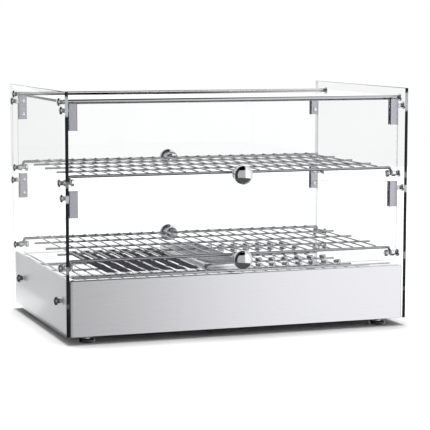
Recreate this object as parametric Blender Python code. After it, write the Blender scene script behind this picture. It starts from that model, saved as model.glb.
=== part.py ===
"""A two-level table-top hot food display case, built from its separate pieces.

The case frame has X across the width, Y from front to back and Z up, with its zero at the middle
of the glass in plan and at the lower edge of the side glasses. The empty "case_frame" carries it.
"""

import math

import bmesh
import bpy
from mathutils import Matrix, Vector

# --- Driving dimensions, in metres ---------------------------------------------------------------
CASE_WIDTH = 0.554  # over the outer faces of the side glasses
CASE_DEPTH = 0.361
GLASS_HEIGHT = 0.364
BASE_HEIGHT = 0.085
FOOT_HEIGHT = 0.012
SIDE_THICKNESS = 0.005
PANE_THICKNESS = 0.004  # the doors and the top
SHEET = 0.0012  # steel sheet of the base
GAP = 0.0003  # left between pieces that touch
HOLE_GAP = 0.0003  # left all round a shaft in its hole

DOOR_SETBACK = 0.020  # from the edge of the side glass to the middle of the door pane
DOOR_HEIGHT = 0.125
DOOR_HALF_WIDTH = 0.2684
DOOR_BOTTOMS = {"lower": 0.0908, "upper": 0.2208}
PIVOT_BELOW_DOOR_TOP = 0.0098
KNOB_ABOVE_DOOR_BOTTOM = 0.0145

ROD_RADIUS = 0.00365  # the top rods that carry the top glass
ROD_SETBACK = 0.033
ROD_LEVEL = 0.3481
ROD_GROOVE_START = 0.0022  # from the rod's axis to the bottom of its groove
ROD_SCREW_RADIUS = 0.0017
ROD_SCREW_REACH = 0.010

SHELF_SETBACK = 0.0335
SHELF_PIN_LEVELS = {"lower": 0.1000, "upper": 0.2275}
SHELF_PIN_NECK = (0.2604, 0.2656)  # where a rack's hook lies, from and to
RACK_ABOVE_PIN = 0.0093  # from a pin's axis up to the axis of the rack's edge wires
EDGE_WIRE_RADIUS = 0.0023
LONG_WIRE_RADIUS = 0.0016
LONG_WIRE_PITCH = 0.0735
LONG_WIRE_REACH = 0.2630
CROSS_WIRE_RADIUS = 0.00125
CROSS_WIRE_PITCH = 0.020
CROSS_WIRE_COUNT = 25
WELD_SINK = 0.0009  # how far a welded wire sinks into its neighbour

CASING_CORNER = 0.005
CASING_BEND = 0.003  # outside radius of the bend along its top
CASING_FLANGE = (0.022, 0.044)  # how far the top reaches in from the sides and from front and rear
BOTTOM_PLATE_LEVELS = (0.0010, 0.0022)
DECK_HALF = (0.262, 0.160)
DECK_FEATURE_PITCH = 0.0223
DECK_FEATURE_COUNT = 7  # slots on the left, and columns of holes on the right
SLOT_CENTRE = -0.1223
SLOT_HALF = (0.0098, 0.127)
SLOT_CORNER = 0.004
BLADE_RUN = 0.0115  # the bent-down louvre blade under the right edge of each slot
BLADE_DROP = 0.0060
HOLE_CENTRE = 0.1185
HOLE_RADIUS = 0.0045
HOLE_ROWS = 5
HOLE_ROW_PITCH = 0.0595
HOLE_COLLAR_HEIGHT = 0.0024
TRAY_HALF = (0.0335, 0.1175)
TRAY_DEPTH = 0.024  # below the deck
TRAY_DRAFT = 0.002
TRAY_RIM_WIDTH = 0.0045
TRAY_RIM_HEIGHT = 0.0055  # of the raised bead above the deck

FOOT_PLACE = (0.240, 0.155)
FOOT_STUD_RADIUS = 0.0030
BASE_SCREW_PLACE = (0.123, 0.0468)
HEATER_LEVEL = 0.040
HEATER_RUNS = (-0.200, -0.145, -0.090, -0.055, 0.055, 0.090, 0.145, 0.200)
HEATER_REACH = 0.115
HEATER_RADIUS = 0.0035
HEATER_BEND = 0.010

KNOB_REACH = 0.0340
DIAL_RADIUS = 0.0185
DIAL_REACH = 0.0165
DIAL_PLACE = (0.170, 0.046)
DIAL_SHAFT_RADIUS = 0.0030
DIAL_SHAFT_REACH = 0.0090  # out from the rear wall
THERMOSTAT_SIZE = (0.036, 0.022, 0.028)
GLAND_RADIUS = 0.0080
GLAND_FLANGE_RADIUS = 0.0110
GLAND_PLACE = (0.222, 0.030)
SWITCH_HALF = (0.0065, 0.0095)
SWITCH_PLACE = (0.100, 0.046)
SWITCH_TILT = math.radians(7.0)

# --- Values that follow from them ----------------------------------------------------------------
HALF_WIDTH = CASE_WIDTH / 2
HALF_DEPTH = CASE_DEPTH / 2
SIDE_INNER = HALF_WIDTH - SIDE_THICKNESS
DOOR_Y = HALF_DEPTH - DOOR_SETBACK
DOOR_TOPS = {level: bottom + DOOR_HEIGHT for level, bottom in DOOR_BOTTOMS.items()}
PIVOT_LEVELS = {level: top - PIVOT_BELOW_DOOR_TOP for level, top in DOOR_TOPS.items()}
SHELF_Y = HALF_DEPTH - SHELF_SETBACK
ROD_Y = HALF_DEPTH - ROD_SETBACK
BASE_TOP = BASE_HEIGHT
DECK_UNDERSIDE = BASE_TOP + GAP
DECK_TOP = DECK_UNDERSIDE + SHEET
FRONT_REACH = DOOR_Y + PANE_THICKNESS / 2 + GAP + KNOB_REACH
REAR_REACH = HALF_DEPTH + GAP + DIAL_REACH
CASE_SHIFT = (FRONT_REACH - REAR_REACH) / 2  # puts the origin under the middle of the whole object


SHANK_RADIUS = 0.0030  # of every pin and screw that passes through a side glass
SPIGOT_RADIUS = 0.0024  # of a hinge pin, inside its clamp
SPIGOT_REACH = 0.0080
CAP_RADIUS = 0.0060
CAP_REACH = 0.0040
PIN_SEGMENTS = 8
CLAMP_INNER = 0.2545
CLAMP_OUTER = 0.2670
CLAMP_HEIGHT = 0.0400
CLAMP_THICKNESS = 0.0090
CLAMP_CORE = 0.0150  # depth of the solid block that fills the notch in the pane
CLAMP_ABOVE_PANE = 0.0005
DOOR_CORNER = 0.006

SIDES = {"left": -1, "right": 1}
FACES = {"front": -1, "rear": 1}


# --- Materials -----------------------------------------------------------------------------------
def material(name, colour, roughness, metallic=0.0, alpha=1.0):
    """A plain Principled material in the piece's own colour."""
    made = bpy.data.materials.new(name)
    made.use_nodes = True
    shader = made.node_tree.nodes["Principled BSDF"]
    shader.inputs["Base Color"].default_value = (*colour, 1.0)
    shader.inputs["Roughness"].default_value = roughness
    shader.inputs["Metallic"].default_value = metallic
    shader.inputs["Alpha"].default_value = alpha
    made.diffuse_color = (*colour, alpha)
    return made


FINISHES = {
    "glass": dict(colour=(0.80, 0.84, 0.86), roughness=0.03, alpha=0.25),
    "chrome": dict(colour=(0.78, 0.79, 0.80), roughness=0.08, metallic=1.0),
    "satin": dict(colour=(0.55, 0.55, 0.59), roughness=0.35, metallic=1.0),
    "brushed": dict(colour=(0.70, 0.71, 0.74), roughness=0.28, metallic=1.0),
    "bright_sheet": dict(colour=(0.80, 0.81, 0.83), roughness=0.12, metallic=1.0),
    "dark_metal": dict(colour=(0.10, 0.10, 0.11), roughness=0.35, metallic=0.8),
    "rubber": dict(colour=(0.03, 0.03, 0.03), roughness=0.75),
    "black_plastic": dict(colour=(0.02, 0.02, 0.02), roughness=0.30),
    "red_plastic": dict(colour=(0.55, 0.03, 0.02), roughness=0.25),
}


# --- Mesh helpers --------------------------------------------------------------------------------
def piece(name, bm, finish, location=(0, 0, 0), parent=None, smooth=True):
    """Turns a bmesh into a named object with its own material, and frees the bmesh."""
    bmesh.ops.recalc_face_normals(bm, faces=bm.faces)
    mesh = bpy.data.meshes.new(name)
    bm.to_mesh(mesh)
    bm.free()
    if smooth:
        mesh.shade_smooth()
        mesh.set_sharp_from_angle(angle=math.radians(35))
    mesh.materials.append(material(name, **FINISHES[finish]))
    made = bpy.data.objects.new(name, mesh)
    made.location = location
    made.parent = parent or CASE_FRAME
    bpy.context.scene.collection.objects.link(made)
    return made


def cutter(name, bm, parent):
    """A hidden shape for a Boolean, in its parent's own coordinates."""
    bmesh.ops.recalc_face_normals(bm, faces=bm.faces)
    mesh = bpy.data.meshes.new(name)
    bm.to_mesh(mesh)
    bm.free()
    made = bpy.data.objects.new(name, mesh)
    made.parent = parent
    made.hide_render = True
    made.display_type = "WIRE"
    bpy.context.scene.collection.objects.link(made)
    return made


def boolean(target, operation, bm):
    """Cuts the shape in bm out of the target, or welds it on."""
    modifier = target.modifiers.new(operation.lower(), "BOOLEAN")
    modifier.operation = operation
    modifier.object = cutter(f"{target.name}_{operation.lower()}", bm, target)


def empty(name, location, parent=None):
    """A pivot that moving pieces hang on."""
    made = bpy.data.objects.new(name, None)
    made.empty_display_size = 0.02
    made.location = location
    made.parent = parent
    bpy.context.scene.collection.objects.link(made)
    return made


def block(bm, low, high):
    """An axis-aligned box between two corners."""
    low, high = Vector(low), Vector(high)
    place = Matrix.Translation((low + high) / 2) @ Matrix.Diagonal((*(high - low), 1.0))
    bmesh.ops.create_cube(bm, size=1.0, matrix=place)


def loft(bm, rings, closed=False):
    """Joins equal rings of points by quads. Open lofts get a cap at each end."""
    rows = [[bm.verts.new(point) for point in ring] for ring in rings]
    count = len(rows[0])
    pairs = list(zip(rows, rows[1:]))
    if closed:
        pairs.append((rows[-1], rows[0]))
    for first, second in pairs:
        for i in range(count):
            j = (i + 1) % count
            bm.faces.new((first[i], first[j], second[j], second[i]))
    if not closed:
        bm.faces.new(rows[0])
        bm.faces.new(reversed(rows[-1]))


def turned(bm, profile, segments=12, place=Matrix()):
    """A turned body. The profile gives (radius, height) from end to end, with flat ends."""
    rings = []
    for radius, height in profile:
        angles = [2 * math.pi * (i + 0.5) / segments for i in range(segments)]
        rings.append([place @ Vector((radius * math.cos(a), radius * math.sin(a), height)) for a in angles])
    loft(bm, rings)


def swept(bm, path, radius, sides=6):
    """A wire along a path, with a ring at each point that halves the bend there."""
    points = [Vector(p) for p in path]
    steps = [(b - a).normalized() for a, b in zip(points, points[1:])]
    side = steps[0].orthogonal().normalized()
    rings = []
    for i, point in enumerate(points):
        before = steps[max(i - 1, 0)]
        after = steps[min(i, len(steps) - 1)]
        along = (before + after).normalized()
        side = (side - along * side.dot(along)).normalized()
        other = along.cross(side)
        angles = [2 * math.pi * (k + 0.5) / sides for k in range(sides)]
        rings.append([point + radius * (math.cos(a) * side + math.sin(a) * other) for a in angles])
    loft(bm, rings)


def round_rectangle(half_x, half_y, radius, level, steps=3):
    """The points of a rectangle with round corners, at one level."""
    ring = []
    for corner, (sign_x, sign_y) in enumerate(((1, 1), (-1, 1), (-1, -1), (1, -1))):
        centre_x = sign_x * (half_x - radius)
        centre_y = sign_y * (half_y - radius)
        for step in range(steps + 1):
            angle = math.pi / 2 * (corner + step / steps)
            ring.append(
                (centre_x + radius * math.cos(angle), centre_y + radius * math.sin(angle), level)
            )
    return ring


def prism(bm, outline, thickness):
    """An outline in XZ, made as thick as asked, half to each side in Y."""
    loft(bm, [[(x, y, z) for x, z in outline] for y in (-thickness / 2, thickness / 2)])


def along_x(x, y, z, sign):
    """Places a turned body on an axis along X, its height running outwards."""
    return Matrix.Translation((x, y, z)) @ Matrix.Rotation(sign * math.pi / 2, 4, "Y")


def along_y(x, y, z, sign):
    """Places a turned body on an axis along Y, its height running outwards."""
    return Matrix.Translation((x, y, z)) @ Matrix.Rotation(-sign * math.pi / 2, 4, "X")


def hole(bm, radius, length, place, segments=12):
    """A plain round cutter, centred on its place."""
    turned(bm, [(radius, -length / 2), (radius, length / 2)], segments, place)


# --- Pins and screws through the side glasses ----------------------------------------------------
def through_pin(name, side, y, level, inner_profile, finish="chrome", cap_radius=CAP_RADIUS,
                cap_reach=CAP_REACH):
    """A domed cap outside the glass, a shank through it and a turned end inside it."""
    head = [
        (cap_radius * 0.45, HALF_WIDTH + GAP + cap_reach),
        (cap_radius * 0.88, HALF_WIDTH + GAP + cap_reach * 0.72),
        (cap_radius, HALF_WIDTH + GAP + cap_reach * 0.25),
        (cap_radius, HALF_WIDTH + GAP),
        (SHANK_RADIUS, HALF_WIDTH + GAP),
    ]
    bm = bmesh.new()
    turned(bm, head + inner_profile, PIN_SEGMENTS, along_x(0, 0, 0, SIDES[side]))
    return piece(name, bm, finish, (0, y, level))


HINGE_PIN_END = [
    (SHANK_RADIUS, SIDE_INNER - GAP),
    (0.0045, SIDE_INNER - GAP),
    (0.0045, CLAMP_OUTER + GAP),
    (SPIGOT_RADIUS, CLAMP_OUTER + GAP),
    (SPIGOT_RADIUS, CLAMP_OUTER - SPIGOT_REACH),
]
SHELF_PIN_END = [
    (SHANK_RADIUS, SIDE_INNER - GAP),
    (0.0050, SIDE_INNER - GAP),
    (0.0050, SHELF_PIN_NECK[1]),
    (0.0030, SHELF_PIN_NECK[1]),
    (0.0030, SHELF_PIN_NECK[0]),
    (0.0055, SHELF_PIN_NECK[0]),
    (0.0055, SHELF_PIN_NECK[0] - 0.0040),
    (0.0042, SHELF_PIN_NECK[0] - 0.0050),
]
ROD_SCREW_END = [
    (SHANK_RADIUS, SIDE_INNER),
    (ROD_SCREW_RADIUS, SIDE_INNER),
    (ROD_SCREW_RADIUS, SIDE_INNER - ROD_SCREW_REACH),
]
BASE_SCREW_END = [(SHANK_RADIUS, SIDE_INNER - 0.0080)]
BASE_CAP = dict(finish="dark_metal", cap_radius=0.0065, cap_reach=0.0050)


def side_hole_places():
    """Every (y, level) where a pin or screw passes through a side glass."""
    places = [(sign * BASE_SCREW_PLACE[0], BASE_SCREW_PLACE[1]) for sign in FACES.values()]
    for sign in FACES.values():
        places.append((sign * ROD_Y, ROD_LEVEL))
        places += [(sign * DOOR_Y, level) for level in PIVOT_LEVELS.values()]
        places += [(sign * SHELF_Y, level) for level in SHELF_PIN_LEVELS.values()]
    return places


def side_glass(side):
    """A side glass, the full height of the case, bored for its pins and screws."""
    sign = SIDES[side]
    bm = bmesh.new()
    x = sorted((sign * HALF_WIDTH, sign * SIDE_INNER))
    block(bm, (x[0], -HALF_DEPTH, 0), (x[1], HALF_DEPTH, GLASS_HEIGHT))
    glass = piece(f"{side}_side_glass", bm, "glass", smooth=False)
    bores = bmesh.new()
    for y, level in side_hole_places():
        middle = sign * (HALF_WIDTH - SIDE_THICKNESS / 2)
        hole(bores, SHANK_RADIUS + HOLE_GAP, 3 * SIDE_THICKNESS, along_x(middle, y, level, 1), PIN_SEGMENTS)
    boolean(glass, "DIFFERENCE", bores)


def side_fixings(side):
    """The pins and screws that go through one side glass."""
    for face, sign in FACES.items():
        through_pin(f"{face}_{side}_rod_screw", side, sign * ROD_Y, ROD_LEVEL, ROD_SCREW_END)
        y, height = sign * BASE_SCREW_PLACE[0], BASE_SCREW_PLACE[1]
        through_pin(f"{face}_{side}_base_screw", side, y, height, BASE_SCREW_END, **BASE_CAP)
        for level, height in PIVOT_LEVELS.items():
            through_pin(f"{face}_{level}_{side}_hinge_pin", side, sign * DOOR_Y, height, HINGE_PIN_END)
        for level, height in SHELF_PIN_LEVELS.items():
            through_pin(f"{face}_{level}_{side}_shelf_pin", side, sign * SHELF_Y, height, SHELF_PIN_END)


# --- Top glass and its rods ----------------------------------------------------------------------
def top_rod(face):
    """A round rod across the top, grooved for the edge of the top glass and bored for its screws."""
    sign = FACES[face]
    half_length = SIDE_INNER - GAP
    bm = bmesh.new()
    hole(bm, ROD_RADIUS, 2 * half_length, along_x(0, 0, 0, 1), 16)
    rod = piece(f"{face}_top_rod", bm, "chrome", (0, sign * ROD_Y, ROD_LEVEL))
    cuts = bmesh.new()
    groove_y = sorted((-sign * ROD_GROOVE_START, -sign * 2 * ROD_RADIUS))
    groove_half = PANE_THICKNESS / 2 + GAP
    block(cuts, (-HALF_WIDTH, groove_y[0], -groove_half), (HALF_WIDTH, groove_y[1], groove_half))
    for end in SIDES.values():
        bore_length = 2 * (ROD_SCREW_REACH + 2 * GAP)
        hole(cuts, ROD_SCREW_RADIUS + HOLE_GAP, bore_length, along_x(end * half_length, 0, 0, 1), 8)
    boolean(rod, "DIFFERENCE", cuts)


def top_glass():
    """The pane that closes the top, held by its long edges in the rods' grooves."""
    reach_x = SIDE_INNER - 2 * GAP
    reach_y = ROD_Y - ROD_GROOVE_START - GAP
    half = PANE_THICKNESS / 2
    bm = bmesh.new()
    block(bm, (-reach_x, -reach_y, ROD_LEVEL - half), (reach_x, reach_y, ROD_LEVEL + half))
    piece("top_glass", bm, "glass", smooth=False)


# --- Flap doors ----------------------------------------------------------------------------------
def door_outline(level, pivot):
    """A door pane in XZ about its pivot: round lower corners, and notches for the clamps' cores."""
    top = DOOR_TOPS[level] - pivot
    bottom = DOOR_BOTTOMS[level] - pivot
    notch_x = CLAMP_INNER - GAP
    notch_z = top - CLAMP_CORE + CLAMP_ABOVE_PANE - GAP
    radius = DOOR_CORNER
    right = [(notch_x, top), (notch_x, notch_z), (DOOR_HALF_WIDTH, notch_z)]
    for step in range(4):
        angle = -math.pi / 2 * step / 3
        right.append(
            (
                DOOR_HALF_WIDTH - radius + radius * math.cos(angle),
                bottom + radius + radius * math.sin(angle),
            )
        )
    left = [(-x, z) for x, z in reversed(right)]
    return right + left


def door_clamp(face, level, side, pivot_empty):
    """A clamp on a door's upper corner: two cheeks and a core that the hinge pin runs in."""
    sign = SIDES[side]
    low = DOOR_TOPS[level] + CLAMP_ABOVE_PANE - CLAMP_HEIGHT - PIVOT_LEVELS[level]
    high = low + CLAMP_HEIGHT
    core = high - CLAMP_CORE
    slot = PANE_THICKNESS / 2 + GAP
    cheek = CLAMP_THICKNESS / 2
    outline = [
        (-cheek, low), (-slot, low), (-slot, core), (slot, core),
        (slot, low), (cheek, low), (cheek, high), (-cheek, high),
    ]
    bm = bmesh.new()
    loft(bm, [[(x, y, z) for y, z in outline] for x in sorted((sign * CLAMP_INNER, sign * CLAMP_OUTER))])
    clamp = piece(f"{face}_{level}_door_{side}_clamp", bm, "satin", parent=pivot_empty)
    bore = bmesh.new()
    bore_length = 2 * (SPIGOT_REACH + 0.0005)
    hole(bore, SPIGOT_RADIUS + HOLE_GAP, bore_length, along_x(sign * CLAMP_OUTER, 0, 0, 1), 10)
    boolean(clamp, "DIFFERENCE", bore)


KNOB_PROFILE = [
    # radius, distance out from the pane's outer face
    (0.0060, KNOB_REACH),
    (0.0110, KNOB_REACH - 0.0023),
    (0.0144, KNOB_REACH - 0.0063),
    (0.0157, KNOB_REACH - 0.0118),
    (0.0146, KNOB_REACH - 0.0172),
    (0.0110, KNOB_REACH - 0.0216),
    (0.0064, KNOB_REACH - 0.0240),
    (0.0062, 0.0030),
    (0.0105, 0.0020),
    (0.0105, 0.0),
]


def door_knob(face, level, pivot_empty):
    """A round knob on its base flange, with its bolt through the pane to a washer inside."""
    sign = FACES[face]
    outer = PANE_THICKNESS / 2 + GAP
    profile = [(radius, outer + height) for radius, height in KNOB_PROFILE]
    profile += [(SHANK_RADIUS, outer), (SHANK_RADIUS, -outer), (0.0070, -outer), (0.0070, -outer - 0.0015)]
    profile += [(0.0035, -outer - 0.0015), (0.0030, -outer - 0.0035)]
    height = DOOR_BOTTOMS[level] + KNOB_ABOVE_DOOR_BOTTOM - PIVOT_LEVELS[level]
    bm = bmesh.new()
    turned(bm, profile, 12, along_y(0, 0, 0, sign))
    piece(f"{face}_{level}_knob", bm, "chrome", (0, 0, height), pivot_empty)


def door(face, level):
    """A flap door: its pane, its knob and its two clamps, on a pivot along its hinge pins."""
    sign = FACES[face]
    pivot = empty(f"{face}_{level}_door_pivot", (0, sign * DOOR_Y, PIVOT_LEVELS[level]), CASE_FRAME)
    bm = bmesh.new()
    prism(bm, door_outline(level, PIVOT_LEVELS[level]), PANE_THICKNESS)
    pane = piece(f"{face}_{level}_door_glass", bm, "glass", parent=pivot, smooth=False)
    knob_height = DOOR_BOTTOMS[level] + KNOB_ABOVE_DOOR_BOTTOM - PIVOT_LEVELS[level]
    bore = bmesh.new()
    hole(bore, SHANK_RADIUS + HOLE_GAP, 3 * PANE_THICKNESS, along_y(0, 0, knob_height, 1), 12)
    boolean(pane, "DIFFERENCE", bore)
    door_knob(face, level, pivot)
    for side in SIDES:
        door_clamp(face, level, side, pivot)


# --- Wire racks ----------------------------------------------------------------------------------
def edge_wire_path(sign):
    """The front or rear wire, whose ends hook down over the outer side of the shelf pins' necks."""
    hook_x = sum(SHELF_PIN_NECK) / 2
    radius = SHANK_RADIUS + EDGE_WIRE_RADIUS + GAP
    half = [(hook_x - 0.016, 0.0, 0.0), (hook_x - 0.0012, 0.0, -0.0002)]
    for angle in (math.radians(step) for step in (12, 45, 78, 105)):
        half.append((hook_x, sign * radius * math.sin(angle), radius * math.cos(angle) - RACK_ABOVE_PIN))
    right = [(x, sign * SHELF_Y + y, z) for x, y, z in half]
    left = [(-x, y, z) for x, y, z in reversed(right)]
    return left + right


def rack(level):
    """A welded wire rack: cross wires on top of the edge wires, and long wires under them.

    Its zero is on the axis of its edge wires.
    """
    lengthwise = bmesh.new()
    for sign in FACES.values():
        swept(lengthwise, edge_wire_path(sign), EDGE_WIRE_RADIUS)
    cross_level = EDGE_WIRE_RADIUS + CROSS_WIRE_RADIUS - WELD_SINK
    long_level = cross_level - CROSS_WIRE_RADIUS - LONG_WIRE_RADIUS + WELD_SINK
    for row in (-1, 0, 1):
        y = row * LONG_WIRE_PITCH
        ends = [(-LONG_WIRE_REACH, y, long_level), (LONG_WIRE_REACH, y, long_level)]
        swept(lengthwise, ends, LONG_WIRE_RADIUS)
    height = SHELF_PIN_LEVELS[level] + RACK_ABOVE_PIN
    made = piece(f"{level}_rack", lengthwise, "chrome", (0, 0, height))
    crosswise = bmesh.new()
    for i in range(CROSS_WIRE_COUNT):
        x = (i - (CROSS_WIRE_COUNT - 1) / 2) * CROSS_WIRE_PITCH
        swept(crosswise, [(x, -SHELF_Y, cross_level), (x, SHELF_Y, cross_level)], CROSS_WIRE_RADIUS)
    boolean(made, "UNION", crosswise)


# --- Base ----------------------------------------------------------------------------------------
def base_casing():
    """The folded steel casing: four walls and a flange round the top that carries the deck."""
    outer_x = SIDE_INNER - GAP
    outer_y = HALF_DEPTH
    corner, bend = CASING_CORNER, CASING_BEND
    inner_corner = corner - SHEET

    def ring(inset_x, inset_y, radius, level):
        return round_rectangle(outer_x - inset_x, outer_y - inset_y, radius, level)

    rings = [
        ring(0, 0, corner, 0.0),
        ring(0, 0, corner, BASE_TOP - bend),
        ring(bend * 0.3, bend * 0.3, corner, BASE_TOP - bend * 0.3),
        ring(bend, bend, corner, BASE_TOP),
        ring(*CASING_FLANGE, corner, BASE_TOP),
        ring(*CASING_FLANGE, corner, BASE_TOP - SHEET),
        ring(bend, bend, inner_corner, BASE_TOP - SHEET),
        ring(SHEET, SHEET, inner_corner, BASE_TOP - bend),
        ring(SHEET, SHEET, inner_corner, 0.0),
    ]
    bm = bmesh.new()
    loft(bm, rings, closed=True)
    casing = piece("base_casing", bm, "brushed")
    cuts = bmesh.new()
    for side in SIDES.values():
        for face in FACES.values():
            place = along_x(side * outer_x, face * BASE_SCREW_PLACE[0], BASE_SCREW_PLACE[1], 1)
            hole(cuts, SHANK_RADIUS + HOLE_GAP, 0.008, place)
    x, z = DIAL_PLACE
    hole(cuts, DIAL_SHAFT_RADIUS + HOLE_GAP, 0.008, along_y(x, outer_y, z, 1))
    x, z = GLAND_PLACE
    hole(cuts, GLAND_RADIUS + HOLE_GAP, 0.008, along_y(x, outer_y, z, 1))
    x, z = SWITCH_PLACE
    half_x = SWITCH_HALF[0] + 2 * GAP
    half_z = SWITCH_HALF[1] + 3 * GAP
    block(cuts, (x - half_x, outer_y - 0.004, z - half_z), (x + half_x, outer_y + 0.004, z + half_z))
    boolean(casing, "DIFFERENCE", cuts)


def deck_columns(centre):
    """The places across the deck of the slots, or of the columns of holes."""
    middle = (DECK_FEATURE_COUNT - 1) / 2
    return [centre + (i - middle) * DECK_FEATURE_PITCH for i in range(DECK_FEATURE_COUNT)]


def hole_places():
    """The middle of every hole in the right half of the deck."""
    rows = [(row - (HOLE_ROWS - 1) / 2) * HOLE_ROW_PITCH for row in range(HOLE_ROWS)]
    return [Matrix.Translation((x, y, DECK_TOP)) for x in deck_columns(HOLE_CENTRE) for y in rows]


def louvre_blade(bm, slot_x):
    """The sheet bent down and inwards under the right edge of a slot."""
    edge = slot_x + SLOT_HALF[0]
    tip = edge - BLADE_RUN
    half_length = SLOT_HALF[1] - SLOT_CORNER
    outline = [
        (edge + SHEET, DECK_UNDERSIDE + SHEET / 2),
        (edge + SHEET, DECK_UNDERSIDE),
        (tip, DECK_UNDERSIDE - BLADE_DROP),
        (tip - SHEET / 2, DECK_UNDERSIDE - BLADE_DROP + SHEET),
        (edge - SHEET, DECK_UNDERSIDE + SHEET / 2),
    ]
    loft(bm, [[(x, y, z) for x, z in outline] for y in (-half_length, half_length)])


def deck_plate():
    """The deck: louvred slots on the left, the tray's opening, and collared holes on the right."""
    bm = bmesh.new()
    loft(bm, [round_rectangle(*DECK_HALF, 0.006, level) for level in (DECK_UNDERSIDE, DECK_TOP)])
    deck = piece("deck_plate", bm, "bright_sheet")
    below, above = DECK_UNDERSIDE - SHEET, DECK_TOP + SHEET
    cuts = bmesh.new()
    for x in deck_columns(SLOT_CENTRE):
        outline = round_rectangle(*SLOT_HALF, SLOT_CORNER, 0.0)
        loft(cuts, [[(x + px, py, level) for px, py, _ in outline] for level in (below, above)])
    opening = [half + GAP for half in TRAY_HALF]
    loft(cuts, [round_rectangle(*opening, 0.008, level) for level in (below, above)])
    boolean(deck, "DIFFERENCE", cuts)
    added = bmesh.new()
    for x in deck_columns(SLOT_CENTRE):
        louvre_blade(added, x)
    collar = [(HOLE_RADIUS + 0.0018, -SHEET / 2), (HOLE_RADIUS + 0.0007, HOLE_COLLAR_HEIGHT)]
    for place in hole_places():
        turned(added, collar, 8, place)
    boolean(deck, "UNION", added)
    holes = bmesh.new()
    for place in hole_places():
        hole(holes, HOLE_RADIUS, 8 * SHEET, place, 8)
    boolean(deck, "DIFFERENCE", holes)


def water_tray():
    """The lift-out water tray, hanging in the deck by the raised bead round its rim."""
    half_x, half_y = TRAY_HALF
    seat = DECK_TOP + GAP
    floor = seat - TRAY_DEPTH
    top = DECK_TOP + TRAY_RIM_HEIGHT
    rim = TRAY_RIM_WIDTH

    def ring(out, radius, level):
        return round_rectangle(half_x + out, half_y + out, radius, level)

    rings = [
        ring(-TRAY_DRAFT, 0.006, floor),
        ring(0, 0.008, seat),
        ring(0, 0.008, top - SHEET),
        ring(rim - SHEET, 0.010, top - SHEET),
        ring(rim - SHEET, 0.010, seat),
        ring(rim, 0.011, seat),
        ring(rim, 0.011, top - SHEET),
        ring(rim - SHEET, 0.010, top),
        ring(0, 0.008, top),
        ring(-SHEET, 0.007, top - SHEET),
        ring(-SHEET, 0.007, seat),
        ring(-TRAY_DRAFT - SHEET, 0.005, floor + SHEET),
    ]
    bm = bmesh.new()
    loft(bm, rings)
    piece("water_tray", bm, "bright_sheet")


def bottom_plate():
    """The plate that closes the base underneath and holds the feet."""
    half_x = SIDE_INNER - GAP - SHEET - GAP
    half_y = HALF_DEPTH - SHEET - GAP
    bm = bmesh.new()
    loft(bm, [round_rectangle(half_x, half_y, 0.004, level) for level in BOTTOM_PLATE_LEVELS])
    plate = piece("bottom_plate", bm, "brushed")
    cuts = bmesh.new()
    for side in SIDES.values():
        for face in FACES.values():
            place = Matrix.Translation((side * FOOT_PLACE[0], face * FOOT_PLACE[1], 0))
            hole(cuts, FOOT_STUD_RADIUS + HOLE_GAP, 0.010, place, 10)
    boolean(plate, "DIFFERENCE", cuts)


def foot(face, side):
    """A levelling foot: a round pad, a stem and the stud that passes through the bottom plate."""
    under = BOTTOM_PLATE_LEVELS[0] - GAP
    profile = [
        (0.0120, -FOOT_HEIGHT),
        (0.0130, -FOOT_HEIGHT + 0.0015),
        (0.0125, -FOOT_HEIGHT + 0.0045),
        (0.0055, -FOOT_HEIGHT + 0.0065),
        (0.0050, under - 0.0030),
        (0.0078, under - 0.0028),
        (0.0078, under),
        (FOOT_STUD_RADIUS, under),
        (FOOT_STUD_RADIUS, under + 0.0080),
    ]
    bm = bmesh.new()
    turned(bm, profile, 12)
    location = (SIDES[side] * FOOT_PLACE[0], FACES[face] * FOOT_PLACE[1], 0)
    piece(f"{face}_{side}_foot", bm, "rubber", location)


def heating_element():
    """A tubular heater bent to and fro under the deck, standing on its two ends."""
    level, reach, bend = HEATER_LEVEL, HEATER_REACH, HEATER_BEND
    runs = HEATER_RUNS
    foot_level = BOTTOM_PLATE_LEVELS[1] + GAP
    end = [(-reach, foot_level), (-reach, level - bend), (-reach + bend, level)]
    path = [(runs[0], y, z) for y, z in end]
    for i, x in enumerate(runs):
        heading = 1 if i % 2 == 0 else -1
        if i > 0:
            path.append((x, -heading * (reach - bend), level))
        if i < len(runs) - 1:
            path += [
                (x, heading * (reach - bend), level),
                (x + bend, heading * reach, level),
                (runs[i + 1] - bend, heading * reach, level),
            ]
    path += [(runs[-1], y, z) for y, z in reversed(end)]
    bm = bmesh.new()
    swept(bm, path, HEATER_RADIUS, 6)
    piece("heating_element", bm, "dark_metal")


# --- Controls on the rear of the base ------------------------------------------------------------
def thermostat():
    """The thermostat behind the rear wall, with its shaft out through the wall."""
    x, z = DIAL_PLACE
    wall = HALF_DEPTH - SHEET - GAP
    bm = bmesh.new()
    width, depth, height = THERMOSTAT_SIZE
    block(bm, (-width / 2, -depth, -height / 2), (width / 2, 0.0, height / 2))
    body = piece("thermostat", bm, "black_plastic", (x, wall, z))
    shaft = bmesh.new()
    reach = HALF_DEPTH + DIAL_SHAFT_REACH - wall
    turned(shaft, [(DIAL_SHAFT_RADIUS, -0.003), (DIAL_SHAFT_RADIUS, reach)], 12, along_y(0, 0, 0, 1))
    boolean(body, "UNION", shaft)


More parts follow.
